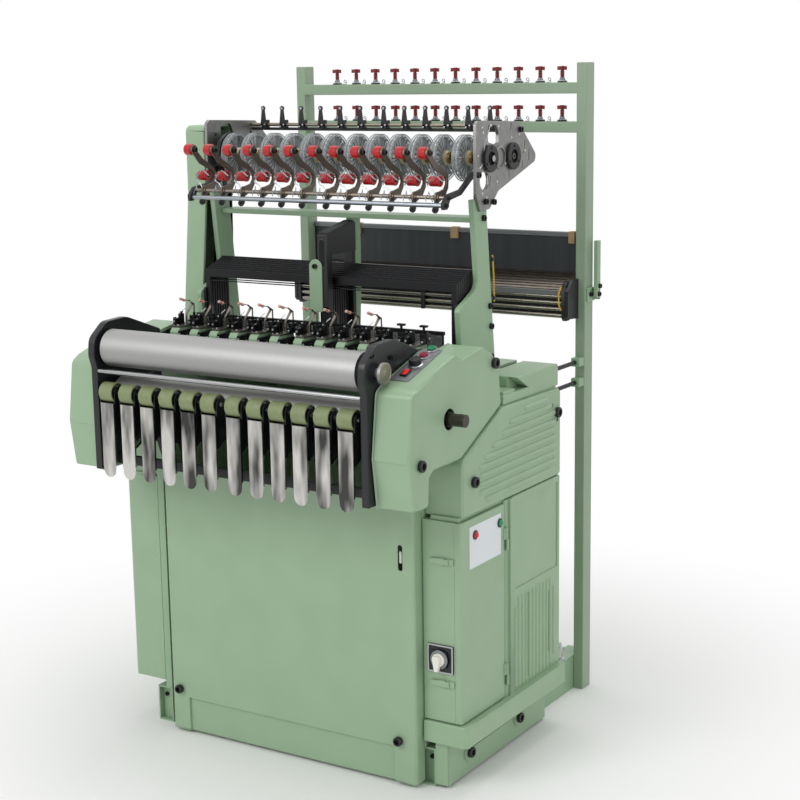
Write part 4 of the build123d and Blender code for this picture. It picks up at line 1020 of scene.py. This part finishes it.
BEARING = [(24, 0), (30, 0), (30, 3), (28, 4), (24, 4), (24, 0)]
bearing = lathe(bmesh.new(), BEARING, (plate_face, -38, SHAFT_Z), RIGHTWARD, 40)
seat("feeder_flange_nuts", hub_rings, black_moulding, "frame")
seat("feeder_nut_bores", bore_shade_discs, deep_shadow, "frame")
seat("feeder_shaft_ends", hub_shafts, dark_shaft, "frame")
seat("feeder_bearing_ring", bearing, milled_plate, "frame")

# Feed wheels
# Twelve clear moulded wheels: a thick rim with a groove and deep radial ribs that grip the yarn
# between them. Grey rings at the rim edges are painted shade, and the ribs come as shaded grey and
# lit white copies of one plastic, painted shade and painted highlights. A cream cone with a brass
# collar clamps each on its hexagonal shaft, and a belt drives them from a black pulley at the left.
wheel_boxes = solids("feed_wheels")
wheel_low, wheel_high = wheel_boxes[0]
wheel_shift = (wheel_low.x + wheel_high.x) / 2 - head_places[0]
wheel_radius = (wheel_high.y - wheel_low.y) / 2
wheel_half = (wheel_high.x - wheel_low.x) / 2
wheel_y, wheel_z = (wheel_low.y + wheel_high.y) / 2, (wheel_low.z + wheel_high.z) / 2
wheel_middle = (0, wheel_y, wheel_z)
clear_moulding = finish("clear_polycarbonate_moulding", "CDD2D4", 0.08, Alpha=0.26, IOR=1.58)
inner, outer, h = wheel_radius - 6, wheel_radius, wheel_half
RIM = [(inner, -h), (outer - 1, -h), (outer, 1 - h), (outer, -2.5), (outer - 3, 0), (outer, 2.5)]
RIM += [(outer, h - 1), (outer - 1, h), (inner, h), (inner + 1.5, 0), (inner, -h)]
rim = lathe(bmesh.new(), RIM, wheel_middle, RIGHTWARD, 64)
shift = {"shift": wheel_shift}
head_row("feed_wheel_rims", rim, clear_moulding, "feeder", "clear_plastic", ["feed_wheels"], **shift)


def spoke_tree():
    """Every point becomes a ring of radial ribs round the X direction."""
    sizes = {"Ribs": "Int", "Middle radius": "Float", "Rib size": "Vector"}
    tree, given = new_tree("radial_ribs", sizes)
    ring = add_node(tree, "GeometryNodeMeshCircle",
        {"Vertices": given["Ribs"], "Radius": given["Middle radius"]}).outputs[0]
    cube = add_node(tree, "GeometryNodeMeshCube", {"Size": given["Rib size"]}).outputs[0]
    place = add_node(tree, "GeometryNodeInputPosition").outputs[0]
    aim = add_node(tree, "FunctionNodeAlignRotationToVector", {"Vector": place}, axis="X").outputs[0]
    ribs = add_node(tree, "GeometryNodeInstanceOnPoints",
        {"Points": ring, "Instance": cube, "Rotation": aim}).outputs[0]
    upright = add_node(tree, "GeometryNodeTransform",
        {"Geometry": ribs, "Rotation": (0, math.radians(90), 0)}).outputs[0]
    placed = add_node(tree, "GeometryNodeInstanceOnPoints",
        {"Points": given["Geometry"], "Instance": upright}).outputs[0]
    end_tree(tree, given, placed)
    return tree


SPOKES = spoke_tree()
# Grey ribs and rings paint the shade, and white ribs paint the highlights, of the clear plastic.
painted_shade_plastic = finish("moulded_rib_edges", "8F9598", 0.14, Alpha=0.8, IOR=1.58)
painted_highlight_plastic = finish("lit_rib_edges", "F1F3F4", 0.14, Alpha=0.8, IOR=1.58)
RIB_SETS = (("feed_wheel_ribs", 20, 1.2, 1.3 * wheel_half, painted_shade_plastic),
    ("feed_wheel_webs", 18, 1.6, 0.9 * wheel_half, painted_highlight_plastic))
for name, count, thick, width, material in RIB_SETS:
    centres = dots((x + wheel_shift, wheel_y, wheel_z) for x in head_places)
    rib_sizes = {"Ribs": count, "Middle radius": (inner + 16) / 2 * MM,
        "Rib size": ((inner - 15) * MM, thick * MM, width * MM)}
    grow(name, centres, SPOKES, rib_sizes, material, "feeder")
WHEEL_RINGS = {
    "feed_wheel_hub_rings": [(14, -h), (19, -h), (19, h - 1), (18, h), (14, h), (14, -h)],
    "feed_wheel_inner_rims": [(inner - 2.2, -h + 1), (inner, -h + 1), (inner, h - 1),
        (inner - 2.2, h - 1), (inner - 2.2, -h + 1)],
}
for name, profile in WHEEL_RINGS.items():
    ring = lathe(bmesh.new(), profile, wheel_middle, RIGHTWARD, 48)
    head_row(name, ring, clear_moulding, "feeder", "clear_plastic", **shift)
# Grey rings paint the dark lines of shade at the rim edges.
edge_rings = bmesh.new()
for radius, z in ((outer - 0.4, -h), (outer - 0.4, h), (inner - 1, -h), (inner - 1, h), (outer - 0.4, 0)):
    near, far = radius - 1.6, radius + 0.4
    ring = [(near, z - 0.7), (far, z - 0.7), (far, z + 0.7), (near, z + 0.7), (near, z - 0.7)]
    lathe(edge_rings, ring, wheel_middle, RIGHTWARD, 64)
head_row("feed_wheel_edges", edge_rings, painted_shade_plastic, "feeder", "clear_plastic", **shift)
CONE = [(12.5, -h), (14, -h), (14, h), (19, h + 0.5), (19, h + 3), (14, h + 9), (12.5, h + 9), (12.5, -h)]
cone = lathe(bmesh.new(), CONE, wheel_middle, RIGHTWARD)
cream_moulding = finish("cream_acetal_moulding", "B7A987", 0.4)
head_row("feed_wheel_hubs", cone, cream_moulding, "feeder", "clear_plastic", **shift)
COLLAR = [(12.4, 0), (15.5, 0), (15.5, 7), (12.4, 7), (12.4, 0)]
collar = lathe(bmesh.new(), COLLAR, (h + 9, wheel_y, wheel_z), RIGHTWARD)
brass = finish("turned_brass", "9A8355", 0.28, 1.0)
head_row("feed_wheel_collars", collar, brass, "feeder", "clear_plastic", **shift)
PULLEY = [(12.4, 0), (30, 0), (30, 3), (50, 3), (50, 0), (58, 0), (58, 3), (55, 6), (58, 9), (58, 12)]
PULLEY += [(50, 12), (50, 7), (30, 7), (30, 12), (12.4, 12), (12.4, 0)]
pulley = lathe(bmesh.new(), PULLEY, (-395, wheel_y, wheel_z), RIGHTWARD, 56)
seat("feeder_belt_pulley", pulley, black_moulding, "feeder")

# Feed arms and yarn rollers
# A slim burnished steel arm stands on the front rods at each head, held by a black clamp. It
# carries a short red roller above and a longer red spool on a steel neck below, and bent zinc
# wires spread the yarn over the spool.
burnished = ground_steel("burnished_arm_steel", "776D64", 0.44, (1, 1, 1))
red_moulding = finish("red_acetal_moulding", "B3141A", 0.28)
arm_box = solids("feed_arms")[0]
arm_thick = arm_box[1].x - arm_box[0].x
upper_low, upper_high = solids("upper_yarn_rollers")[0]
lower_low, lower_high = solids("lower_yarn_spools")[0]
upper_middle, lower_middle = (upper_low + upper_high) / 2, (lower_low + lower_high) / 2
top = (upper_middle.y, upper_middle.z)
arm_outline = arc(top, 12.5, 200, -20, 11)
arm_outline += [(-252, 1542), (-224, 1528), (-203, 1513), (-195, 1497), (-197, 1478), (-212, 1459)]
arm_outline += [(-240, 1446)] + arc((-250, 1454), 9.5, -90, -180, 4) + arc((-250, 1462), 9.5, 180, 100, 4)
arm_outline += [(-238, 1472), (-216, 1477), (-207, 1488), (-206, 1499), (-213, 1508), (-232, 1516)]
arm_outline += [(-266, 1530)]
feed_arm = plate(bmesh.new(), arm_outline, "X", 0, arm_thick)
head_row("bent_feed_arms", feed_arm, burnished, "frame", "arm_steel", ["feed_arms"], edge_mm=0.6)
r, w = (upper_high.y - upper_low.y) / 2, upper_high.x - upper_low.x
ROLLER = [(0, 2), (r - 5, 2), (r - 4, 0.4), (r - 2.4, 0), (r - 0.7, 0.9), (r, 2.6), (r, w - 2)]
ROLLER += [(r - 1.6, w), (0, w)]
roller = lathe(bmesh.new(), ROLLER, (upper_low.x - head_places[0], *top), RIGHTWARD, 36)
head_row("upper_rollers_red", roller, red_moulding, "upper_rollers", "red_plastic", ["upper_yarn_rollers"])
r, w = (lower_high.y - lower_low.y) / 2, lower_high.x - lower_low.x
SPOOL_NECK = 9.0
barrel = w - SPOOL_NECK
spool_foot = (lower_low.x - head_places[0], lower_middle.y, lower_middle.z)
barrel_foot = (spool_foot[0] + SPOOL_NECK, lower_middle.y, lower_middle.z)
SPOOL = [(7, 0), (r - 3, 0), (r - 0.8, 2), (r - 0.8, barrel - 8), (r - 2, barrel - 7)]
SPOOL += [(r - 2, barrel - 5), (r, barrel - 4), (r, barrel - 1), (r - 1, barrel), (7, barrel), (7, 0)]
spool = lathe(bmesh.new(), SPOOL, barrel_foot, RIGHTWARD, 36)
LINING = [(3.5, 0.4), (7, 0.4), (7, w - 0.2), (5.6, w + 0.1), (3.5, w - 8), (3.5, 0.4)]
lining = lathe(bmesh.new(), LINING, spool_foot, RIGHTWARD, 20)
head_row("lower_spools_red", spool, red_moulding, "lower_spools", "red_plastic", ["lower_yarn_spools"])
head_row("lower_spool_linings", lining, warm_steel, "lower_spools", "red_plastic")
ARM_SCREW = [(0, 0), (6.5, 0), (6.5, 6), (5.6, 7), (3, 7), (3, 2), (0, 2)]
arm_pins = lathe(bmesh.new(), ARM_SCREW, (arm_thick, *top), RIGHTWARD, 8)
head_row("arm_socket_screws", arm_pins, screw_black, "frame", "arm_steel")
collars = bmesh.new()
for x in (-5.5, 5.5):
    lathe(collars, [(5.3, 0), (7.4, 0), (7.4, 5), (5.3, 5), (5.3, 0)], (x, -250, 1458), RIGHTWARD, 20)
head_row("rod_collars", collars, burnished, "frame", "arm_steel")
CLAMP_KNOB = [(0, 0), (7.5, 0), (8.2, 1), (8.2, 9), (7.5, 10), (3, 10), (3, 6), (0, 6)]
clamp_knobs = lathe(bmesh.new(), CLAMP_KNOB, (2.5, -256, 1430), (0.35, -1, -0.25), 20)
blocks(clamp_knobs, (-1, 6, -258, -246, 1428, 1452))
head_row("rod_clamp_knobs", clamp_knobs, black_moulding, "frame", "arm_steel", edge_mm=0.4)
spreaders, loops = [], []
for x in head_places:
    spreader = [(x - 2, -250, 1464), (x - 13, -248, 1478), (x - 30, -246, 1485), (x - 3, -247, 1513)]
    spreaders.append(spreader + [(x + 12, -245, 1500), (x + 16, -244, 1497)])
    hook = [(x - 3, -259, 1448), (x - 7, -268, 1460), (x - 13, -262, 1474), (x - 21, -248, 1470)]
    loops.append(hook + [(x - 25, -258, 1456), (x - 17, -270, 1450)])
wires("yarn_spreader_wires", spreaders, 1.7, zinc, "frame", corner=5.0, sides=8)
wires("yarn_hook_wires", loops, 1.1, zinc, "frame", corner=5.0, sides=6)

# Yarn rods and their carriers
# Round rods of drawn and of zinc-plated steel run across the machine before and behind the
# wheels. Two black carriers, screwed to the posts, hold the front pair.
rods = bmesh.new()
rod_reach = corners("yarn_rods")[1].x
rod(rods, 5, (-389, -250, 1458), (389, -250, 1458), 20, 0.5)
rod(rods, 5, (-rod_reach, 45, 1622), (rod_reach, 45, 1622), 20, 0.5)
seat("steel_yarn_rods", rods, warm_steel, "frame", ["yarn_rods"])
rods = rod(bmesh.new(), 6, (-396, -262, 1440), (396, -262, 1440), 20, 0.8)
rod(rods, 14, (-rod_reach, 29, 1546), (rod_reach, 29, 1546), 28, 0.8)
seat("zinc_yarn_rods", rods, zinc, "frame")
carriers = bmesh.new()
BAR = [(-272, 1430), (-274, 1446), (-254, 1466), (-190, 1474), (-128, 1512), (-108, 1512)]
BAR += [(-108, 1498), (-126, 1498), (-186, 1461), (-242, 1452), (-256, 1430)]
for side in (-1, 1):
    x0, x1 = sorted((side * 389, side * 399.5))
    plate(carriers, BAR, "X", x0, x1)
    blocks(carriers, (*sorted((side * 394, side * 400)), -120, -104, 1440, 1512))
seat("yarn_rod_carriers", carriers, black_moulding, "frame", edge_mm=1.2)
rod_screws = [(399.5, -262, 1440), (399.5, -250, 1458)]
screws("rod_end_screws", rod_screws, RIGHTWARD, 5.5, 4, screw_black)

# Thread arms on the rear rod
# Twelve black moulded forks stand on the rear rod, tapering up to a round wire eye. Bright pins
# clamp each foot, and a black bar runs under them all.
thread_low, thread_high = solids("thread_arms")[0]
thread_shift = (thread_low.x + thread_high.x) / 2 - head_places[0]
z0, z1 = thread_low.z, thread_high.z
fork = bmesh.new()
TAPER = [(-8, z0), (-9, z0 + 12), (-4.2, z1 - 8), (4.2, z1 - 8), (9, z0 + 12), (8, z0), (3, z0)]
TAPER += [(0, z0 + 14), (-3, z0)]
plate(fork, TAPER, "Y", 34, 39)
blocks(fork, (-9, 9, 34, 55.5, z0 + 6, z0 + 11))
for x in (-8, 5):
    blocks(fork, (x, x + 3, 37, 55, z0, z0 + 22))
head_row("thread_forks", fork, black_moulding, "frame", "black_plastic", ["thread_arms"],
    shift=thread_shift, edge_mm=0.5)
eye_middle = (0, 36.5, z1 - 5)
THREAD_EYE = [(3.6, -2.6), (6.2, -2.6), (7, 0), (6.2, 2.6), (3.6, 2.6), (3.6, -2.6)]
eye = lathe(bmesh.new(), THREAD_EYE, eye_middle, FORWARD, 20)
head_row("thread_eyes", eye, black_moulding, "frame", "black_plastic", shift=thread_shift)
LINER = [(2.2, -3), (3.6, -3), (3.6, 3), (2.2, 3), (2.2, -3)]
pins = lathe(bmesh.new(), LINER, eye_middle, FORWARD, 16)
for x, z in ((-5.5, z0 + 4), (5.5, z0 + 9)):
    lathe(pins, [(0, 0), (2.6, 0), (2.6, 2), (0, 2.4)], (x, 34, z), FORWARD, 12)
head_row("thread_arm_pins", pins, screw_zinc, "frame", "black_plastic", shift=thread_shift)
bar = blocks(bmesh.new(), (-rod_reach, rod_reach, 50, 56, 1606, 1614))
seat("thread_arm_bar", bar, black_moulding, "frame", edge_mm=0.6)

# Rear rack and its yarn tensioners
# A welded tube rack carries two rows of tensioners. Each is a stack on one screw: black disc,
# zinc washers, a coil spring in a dark red sleeve and a dark red star knob.
rack_enamel = enamel("dusty_rack_enamel", "899F85", "92A78D")
soften("rear_rack", 2.5, rack_enamel)
tension_boxes = solids("tensioners")
tension_low, tension_high = tension_boxes[0]
row_xs = sorted({round((low.x + high.x) / 2, 2) for low, high in tension_boxes})
row_zs = sorted({round(low.z, 2) for low, high in tension_boxes})
tension_y = (tension_low.y + tension_high.y) / 2


def tension_rows(name, bm, material, stands_for=()):
    """Repeats a stack drawn on the origin in both rows of the rack."""
    chamfer(bm, 0)
    single = as_object(name + "_one", bm)
    stand = dots((x, tension_y, z) for z in row_zs for x in row_xs)
    made = grow(name, stand, COPIES, {"Shape": single}, material, "frame", stands_for)
    bpy.data.objects.remove(single)
    return made


def copy_tree():
    """Every point gets a copy of one shape."""
    tree, given = new_tree("copies_on_points", {"Shape": "Object"})
    shape = add_node(tree, "GeometryNodeObjectInfo", {"Object": given["Shape"]}).outputs["Geometry"]
    inputs = {"Points": given["Geometry"], "Instance": shape}
    end_tree(tree, given, add_node(tree, "GeometryNodeInstanceOnPoints", inputs).outputs[0])
    return tree


COPIES = copy_tree()
dark_red = finish("dark_red_phenolic_moulding", "7A1519", 0.36)
knob = bmesh.new()
star = []
for k in range(40):
    angle = 2 * math.pi * k / 40
    reach = 11.0 + 3.0 * math.cos(5 * angle)
    star.append((reach * math.cos(angle), reach * math.sin(angle)))
plate(knob, star, "Z", 33, 43)
lathe(knob, [(0, 43), (6, 43), (5, 44), (0, 44)], (0, 0, 0), UPWARD, 16)
sleeve = [(2.5, 11), (4.4, 11)]
for z in (12, 16, 20, 24, 28):
    sleeve += [(6.0, z), (6.0, z + 2), (4.6, z + 2.6), (4.6, z + 3.4)]
lathe(knob, sleeve + [(4.6, 33), (2.5, 33), (2.5, 11)], (0, 0, 0), UPWARD, 16)
tension_rows("tensioner_knobs", knob, dark_red, ["tensioners"])
discs = bmesh.new()
WASHERS = ([(3, 3), (13, 3.6), (13.6, 4.4), (13, 5), (3, 5.8), (3, 3)],
    [(3, 6), (9, 6), (9, 7.4), (6, 8.6), (3, 8.6), (3, 6)], [(0, 8), (2.4, 8), (2.4, 34), (0, 34)])
for profile in WASHERS:
    lathe(discs, profile, (0, 0, 0), UPWARD, 20)
tension_rows("tensioner_washers", discs, zinc)
DISC = [(0, 0), (13.5, 0), (14, 0.6), (14, 2.4), (12, 3), (0, 3)]
feet = lathe(bmesh.new(), DISC, (0, 0, 0), UPWARD, 24)
tension_rows("tensioner_discs", feet, black_moulding)


def spring_tree():
    """Every point becomes an upright coil spring."""
    sizes = {"Turns": "Float", "Bottom radius": "Float", "Top radius": "Float", "Height": "Float"}
    tree, given = new_tree("coil_springs", sizes)
    coil = add_node(tree, "GeometryNodeCurveSpiral",
        {"Resolution": 14, "Rotations": given["Turns"], "Start Radius": given["Bottom radius"],
        "End Radius": given["Top radius"], "Height": given["Height"]}).outputs[0]
    circle = add_node(tree, "GeometryNodeCurvePrimitiveCircle",
        {"Resolution": 5, "Radius": 0.7 * MM}).outputs[0]
    wire = add_node(tree, "GeometryNodeCurveToMesh", {"Curve": coil, "Profile Curve": circle}).outputs[0]
    inputs = {"Points": given["Geometry"], "Instance": wire}
    end_tree(tree, given, add_node(tree, "GeometryNodeInstanceOnPoints", inputs).outputs[0])
    return tree


spring_feet = dots((x, tension_y, z + 8.6) for z in row_zs for x in row_xs)
spring_sizes = {"Turns": 3.0, "Bottom radius": 8 * MM, "Top radius": 5 * MM, "Height": 5 * MM}
grow("tensioner_springs", spring_feet, spring_tree(), spring_sizes, zinc, "frame")
clips = []
clip_y = tension_y - 4
bends = [(4 * math.cos(a * 0.9), 4 * math.sin(a * 0.9)) for a in range(7)]
for z in row_zs:
    for x in row_xs[:-1]:
        eye = [(x + 30 + dx, clip_y, z + 9 + dz) for dx, dz in bends]
        clips.append([(x + 22, clip_y, z + 1.2), (x + 34, clip_y, z + 1.2)] + eye)
wires("thread_eye_clips", clips, 1.1, zinc, "frame", corner=1.0, sides=6)

# Warp stop motion
# The warp slides over a sloping bed of thin steel droppers, which stop the loom when a thread
# breaks, and runs over four chromed rods. A dark sheet stands behind under a grey rail with small
# wooden blocks, and black brackets close both ends.
chrome = ground_steel("chromed_rod_steel", "8F8A80", 0.2, (0.04, 1, 1))
warp_set = soften("warp_rollers", 0.6, chrome, 1)
warp_high = corners("warp_rollers")[1]
tint(warp_set, black_moulding, lambda p: abs(p.x) > warp_high.x - 10.2)
dark_sheet = finish("dark_grey_warp_sheet", "3C3F42", 0.42, 0.4)
shade(dark_sheet, grains(dark_sheet, 25, stretch=(1, 1, 0.04)), "303336", "474A4D")
bed_high = corners("warp_stop_bed")[1]
reach = bed_high.x
sheets = blocks(
    bmesh.new(),
    (-reach, reach, 391, 395, 1196, bed_high.z - 8),
    (-reach, reach, 311, 314, 1088, 1160),
)
seat("warp_sheets", sheets, dark_sheet, "frame", ["warp_stop_bed"], edge_mm=0.6)
rail_grey = finish("grey_warp_rail", "7E8183", 0.4, 0.6)
rail = blocks(
    bmesh.new(),
    (-reach, reach, 386, 402, bed_high.z - 8, bed_high.z),
    (-reach, reach, 386, 389, bed_high.z - 13, bed_high.z - 8),
    (-reach, reach, 293, 298, 1153, 1167),
)
seat("warp_rails", rail, rail_grey, "frame", edge_mm=0.8)
dropper_steel = ground_steel("brown_dropper_steel", "5B544C", 0.4)
shade(dropper_steel, grains(dropper_steel, 9, stretch=(0.3, 1, 1)), "49433D", "7A736A")
SLOPE = [(298, 1156), (298, 1164), (391, 1206), (396, 1206), (396, 1196)]
slope = plate(bmesh.new(), SLOPE, "X", -reach, reach)
seat("warp_slope", slope, dropper_steel, "frame", edge_mm=0.6)
dropper_points = []
for row in range(7):
    y, z = 306 + 12.5 * row, 1166 + 5.65 * row
    dropper_points += [(-reach + 22 + 3.4 * k, y, z) for k in range(251)]
bars("warp_droppers", dropper_points, (0.9, 9.5, 5), dropper_steel, "frame")
wood = finish("tan_beech_block", "B08F68", 0.6)
shade(wood, grains(wood, 6, stretch=(0.15, 1, 1)), "A0805A", "BE9E77")
wooden = bmesh.new()
for x0, x1 in ((35, 58), (413, 432), (-300, -278)):
    blocks(
        wooden,
        (x0, x1, 385, 403, bed_high.z - 1, bed_high.z + 2),
        (x0, x1, 381, 391, bed_high.z - 31, bed_high.z + 2),
    )
seat("rail_blocks", wooden, wood, "frame", edge_mm=0.8)
clips = blocks(bmesh.new(), (-14, -2, 291, 313, 1090, 1160))
ENDS = [(292, 1092), (300, 1082), (322, 1082), (330, 1100), (330, 1178), (318, 1192), (300, 1186)]
ENDS += [(292, 1170)]
for side in (-1, 1):
    x0, x1 = sorted((side * (warp_high.x - 22), side * (warp_high.x - 10)))
    plate(clips, ENDS, "X", x0, x1)
seat("warp_rod_clips", clips, black_moulding, "frame", edge_mm=1.2)

# Clipped cables and side arm
# Two short yellow cables run down the right post and before the right end of the warp rods. A
# bent green arm is bolted to the outside of the rack's right post.
yellow_jacket = finish("yellow_cable_jacket", "C9A227", 0.45)
post_wire = [(post_face + 2.6, -66, 1300), (post_face + 2.6, -60, 1250), (post_face + 2.6, -58, 1180)]
clipped = [post_wire, [(434, 296, 1176), (431, 287, 1160), (431, 287, 1130), (436, 290, 1112)]]
wires("clipped_yellow_cables", clipped, 2.2, yellow_jacket, "frame", corner=12.0, sides=10)
p_clips = bmesh.new()
for y, z in ((-65, 1290), (-58, 1190)):
    blocks(p_clips, (post_face, post_face + 6, y - 5, y + 4, z - 5, z + 5))
seat("cable_clips", p_clips, black_moulding, "frame", edge_mm=0.8)
side_x = corners("side_arm")[0].x
arm = blocks(
    bmesh.new(),
    (side_x, side_x + 6, 362, 406, 1130, 1168),
    (side_x, side_x + 24, 398, 404, 1134, 1164),
    (side_x + 12, side_x + 24, 384, 404, 1140, 1298),
)
seat("side_arm_plates", arm, sage_enamel, "frame", ["side_arm"], edge_mm=1.2)
arm_bolts = [(side_x + 6, 376, 1150), (side_x + 24, 392, 1150), (side_x + 24, 396, 1172)]
screws("side_arm_screws", arm_bolts, RIGHTWARD, 6.5, 6, screw_black)

# Braces, levelling screw and tube stops
# Two black rods with green lugs tie the right housing to the rear post. A zinc-plated levelling
# screw stands on the base tube, and a bolted plate stops the front end of each side tube.
braces, lugs, leveller = bmesh.new(), bmesh.new(), bmesh.new()
for z in (964, 907):
    rod(braces, 6, (462, 104, z), (462, 358, z), 16, 0.5)
    blocks(lugs, (450, 476, 326, 357, z - 12, z + 12), (452, 472, 106, 124, z - 10, z + 10))
seat("brace_rods", braces, screw_black, "frame")
seat("brace_lugs", lugs, sage_enamel, "frame", edge_mm=1.5)
LEVEL = [(0, 0), (16, 0), (16, 5), (9, 8), (9, 26), (13, 28), (13, 38), (7, 40), (7, 52), (0, 52)]
base_top = corners("base_frame")[1].z
lathe(leveller, LEVEL, (430, 300, base_top), UPWARD, 24)
seat("levelling_screw", leveller, screw_zinc, "frame")
stops = bmesh.new()
for side in (-1, 1):
    blocks(stops, (*sorted((side * 402.5, side * 443.5)), -408, -404, 4.5, 95.5))
seat("base_tube_stops", stops, sage_enamel, "frame")
screws("base_stop_screws", [(430, -408, 72), (-430, -408, 72)], FORWARD, 6, 5, screw_black)

# Operator's desk
# A satin aluminium plate on the right cover carries a lit red rocker, a black speed knob with a
# silver skirt, and a red and a green button in bright bezels.
desk_sheet = ground_steel("satin_desk_sheet", "9EA2A4", 0.36)
dress("desk_plate", desk_sheet)
lit_red = finish("lit_red_rocker", "E0201C", 0.25, Emission_Color=linear("E0201C"), Emission_Strength=0.25)
dress("rocker_switch", lit_red)
soften("speed_knob", 1.4, black_moulding)
soften("stop_button", 1.2, finish("crimson_button_moulding", "8E1030", 0.3))
green_moulding = finish("green_acetal_moulding", "137A4B", 0.3)
soften("start_button", 1.2, green_moulding)
DESK_RISE, DESK_DEPTH = 54, 174
desk_slope = math.atan2(DESK_RISE, DESK_DEPTH)
desk_up = Vector((0, -math.sin(desk_slope), math.cos(desk_slope)))
desk_along = Vector((0, math.cos(desk_slope), math.sin(desk_slope)))


def box_middle(name):
    low, high = corners(name)
    return (low + high) / 2


SKIRT = [(15.3, 0), (19, 0), (19, 1.5), (16.5, 3), (15.3, 3), (15.3, 0)]
BEZEL = [(11.6, 0), (15, 0), (15, 1.6), (13.4, 3.4), (11.6, 3.4), (11.6, 0)]
skirts = lathe(bmesh.new(), SKIRT, box_middle("speed_knob") - desk_up * 8.2, desk_up)
for name in ("stop_button", "start_button"):
    lathe(skirts, BEZEL, box_middle(name) - desk_up * 3.6, desk_up)
seat("desk_bezels", skirts, screw_zinc, "frame")
rocker_middle = box_middle("rocker_switch")
turn = Matrix((Vector((1, 0, 0)), desk_along, desk_up)).transposed().to_4x4()
frame_bm = bmesh.new()
for x0, x1, y0, y1 in ((-9, 9, 11.9, 14), (-9, 9, -14, -11.9), (-9, -7, -11.9, 11.9), (7, 9, -11.9, 11.9)):
    blocks(frame_bm, (x0, x1, y0, y1, -3.0, 1.2))
frame_bm.transform(Matrix.Translation(rocker_middle) @ turn)
seat("rocker_frame", frame_bm, black_moulding, "frame", edge_mm=0.3)

# Drive inside the cabinet
# A small enamelled motor turns the main shaft through a ribbed rubber belt and two cast pulleys.
# Panels and covers hide it on all sides, so it shows only from below.
motor_enamel = enamel("blue_grey_motor_enamel", "3F5361", "495E6D", 0.4)
dress("motor", motor_enamel)
dress("motor_pulley", milled_alloy)
belt_rubber = finish("black_belt_rubber", "1B1B1B", 0.7)
roughen(belt_rubber, grains(belt_rubber, 2.0), 0.15)
dress("drive_belt", belt_rubber)

# Camera
# Fitted to the photograph: it stands at the right of the machine's front, as high as its top,
# looks slightly down and leans by less than a degree.
camera_az = math.radians(32.03)
camera_el = math.radians(11.28)
camera_roll = math.radians(-0.88)
back = Vector((math.sin(camera_az) * math.cos(camera_el), -math.cos(camera_az) * math.cos(camera_el),
    math.sin(camera_el)))
right = (-back).cross(Vector((0, 0, 1))).normalized()
up = right.cross(-back)
rolled_right = right * math.cos(camera_roll) + up * math.sin(camera_roll)
rolled_up = up * math.cos(camera_roll) - right * math.sin(camera_roll)
camera_data = bpy.data.cameras.new("photo_camera")
FOCAL_PX, SENSOR_MM, PHOTO_PX = 1657.2, 36.0, 800.0
camera_data.sensor_width = SENSOR_MM
camera_data.lens = FOCAL_PX * SENSOR_MM / PHOTO_PX
camera_data.clip_end = 50.0
camera = bpy.data.objects.new("photo_camera", camera_data)
axes = Matrix((rolled_right, rolled_up, back)).transposed()
camera.matrix_world = Matrix.Translation((2449 * MM, -3766 * MM, 1768 * MM)) @ axes.to_4x4()
bpy.context.scene.collection.objects.link(camera)
bpy.context.scene.camera = camera

# Studio
# A white floor runs into a white surround that the camera and bright metal see at full strength.
# A large soft lamp in front, a weaker one at the right and one above shape the forms.
floor_finish = finish("white_studio_floor", "F4F4F3", 0.9)
tree = floor_finish.node_tree
spot = add_node(tree, "ShaderNodeTexCoord").outputs["Object"]
far = add_node(tree, "ShaderNodeVectorMath", {0: spot}, operation="LENGTH").outputs["Value"]
fade = add_node(tree, "ShaderNodeMapRange", {0: far, 1: 0.55, 2: 1.9}, interpolation_type="SMOOTHSTEP")
seen = add_node(tree, "ShaderNodeLightPath").outputs["Is Camera Ray"]
share = add_node(tree, "ShaderNodeMath", {0: fade.outputs[0], 1: seen}, operation="MULTIPLY").outputs[0]
glow = add_node(tree, "ShaderNodeEmission", {"Color": linear("FFFFFF"), "Strength": 1.0}).outputs[0]
lit = tree.nodes["Principled BSDF"].outputs[0]
mixed = add_node(tree, "ShaderNodeMixShader", {0: share, 1: lit, 2: glow}).outputs[0]
tree.links.new(mixed, tree.nodes["Material Output"].inputs["Surface"])
bpy.ops.mesh.primitive_plane_add(size=40.0, location=(0, 0, -0.0005))
floor = bpy.context.object
floor.name = "studio_floor"
floor.data.materials.append(floor_finish)


def soft_lamp(name, place, aim, size, watts):
    light = bpy.data.lights.new(name, "AREA")
    light.shape = "DISK"
    light.size = size
    light.energy = watts
    lamp = bpy.data.objects.new(name, light)
    lamp.location = place
    lamp.rotation_euler = (Vector(aim) - Vector(place)).to_track_quat("-Z", "Y").to_euler()
    bpy.context.scene.collection.objects.link(lamp)


soft_lamp("key_light", (-1.2, -4.2, 3.4), (0, 0, 0.9), 2.4, 75)
soft_lamp("fill_light", (4.6, -1.0, 2.4), (0, 0, 0.9), 2.6, 22)
soft_lamp("top_light", (0.2, 0.6, 4.4), (0, 0, 0.9), 2.6, 45)
world = bpy.data.worlds.new("white_surround")
bpy.context.scene.world = world
world.use_nodes = True
tree = world.node_tree
seen = add_node(tree, "ShaderNodeLightPath")
for ray in ("Is Glossy Ray", "Is Transmission Ray"):
    both = add_node(tree, "ShaderNodeMath",
        {0: seen.outputs["Is Camera Ray"] if ray == "Is Glossy Ray" else both.outputs[0],
        1: seen.outputs[ray]}, operation="MAXIMUM")
strength = add_node(tree, "ShaderNodeMapRange", {0: both.outputs[0], 3: 0.64, 4: 1.0}).outputs[0]
background = tree.nodes["Background"]
background.inputs["Color"].default_value = linear("FFFFFF")
tree.links.new(strength, background.inputs["Strength"])
bpy.context.scene.view_settings.view_transform = "Standard"
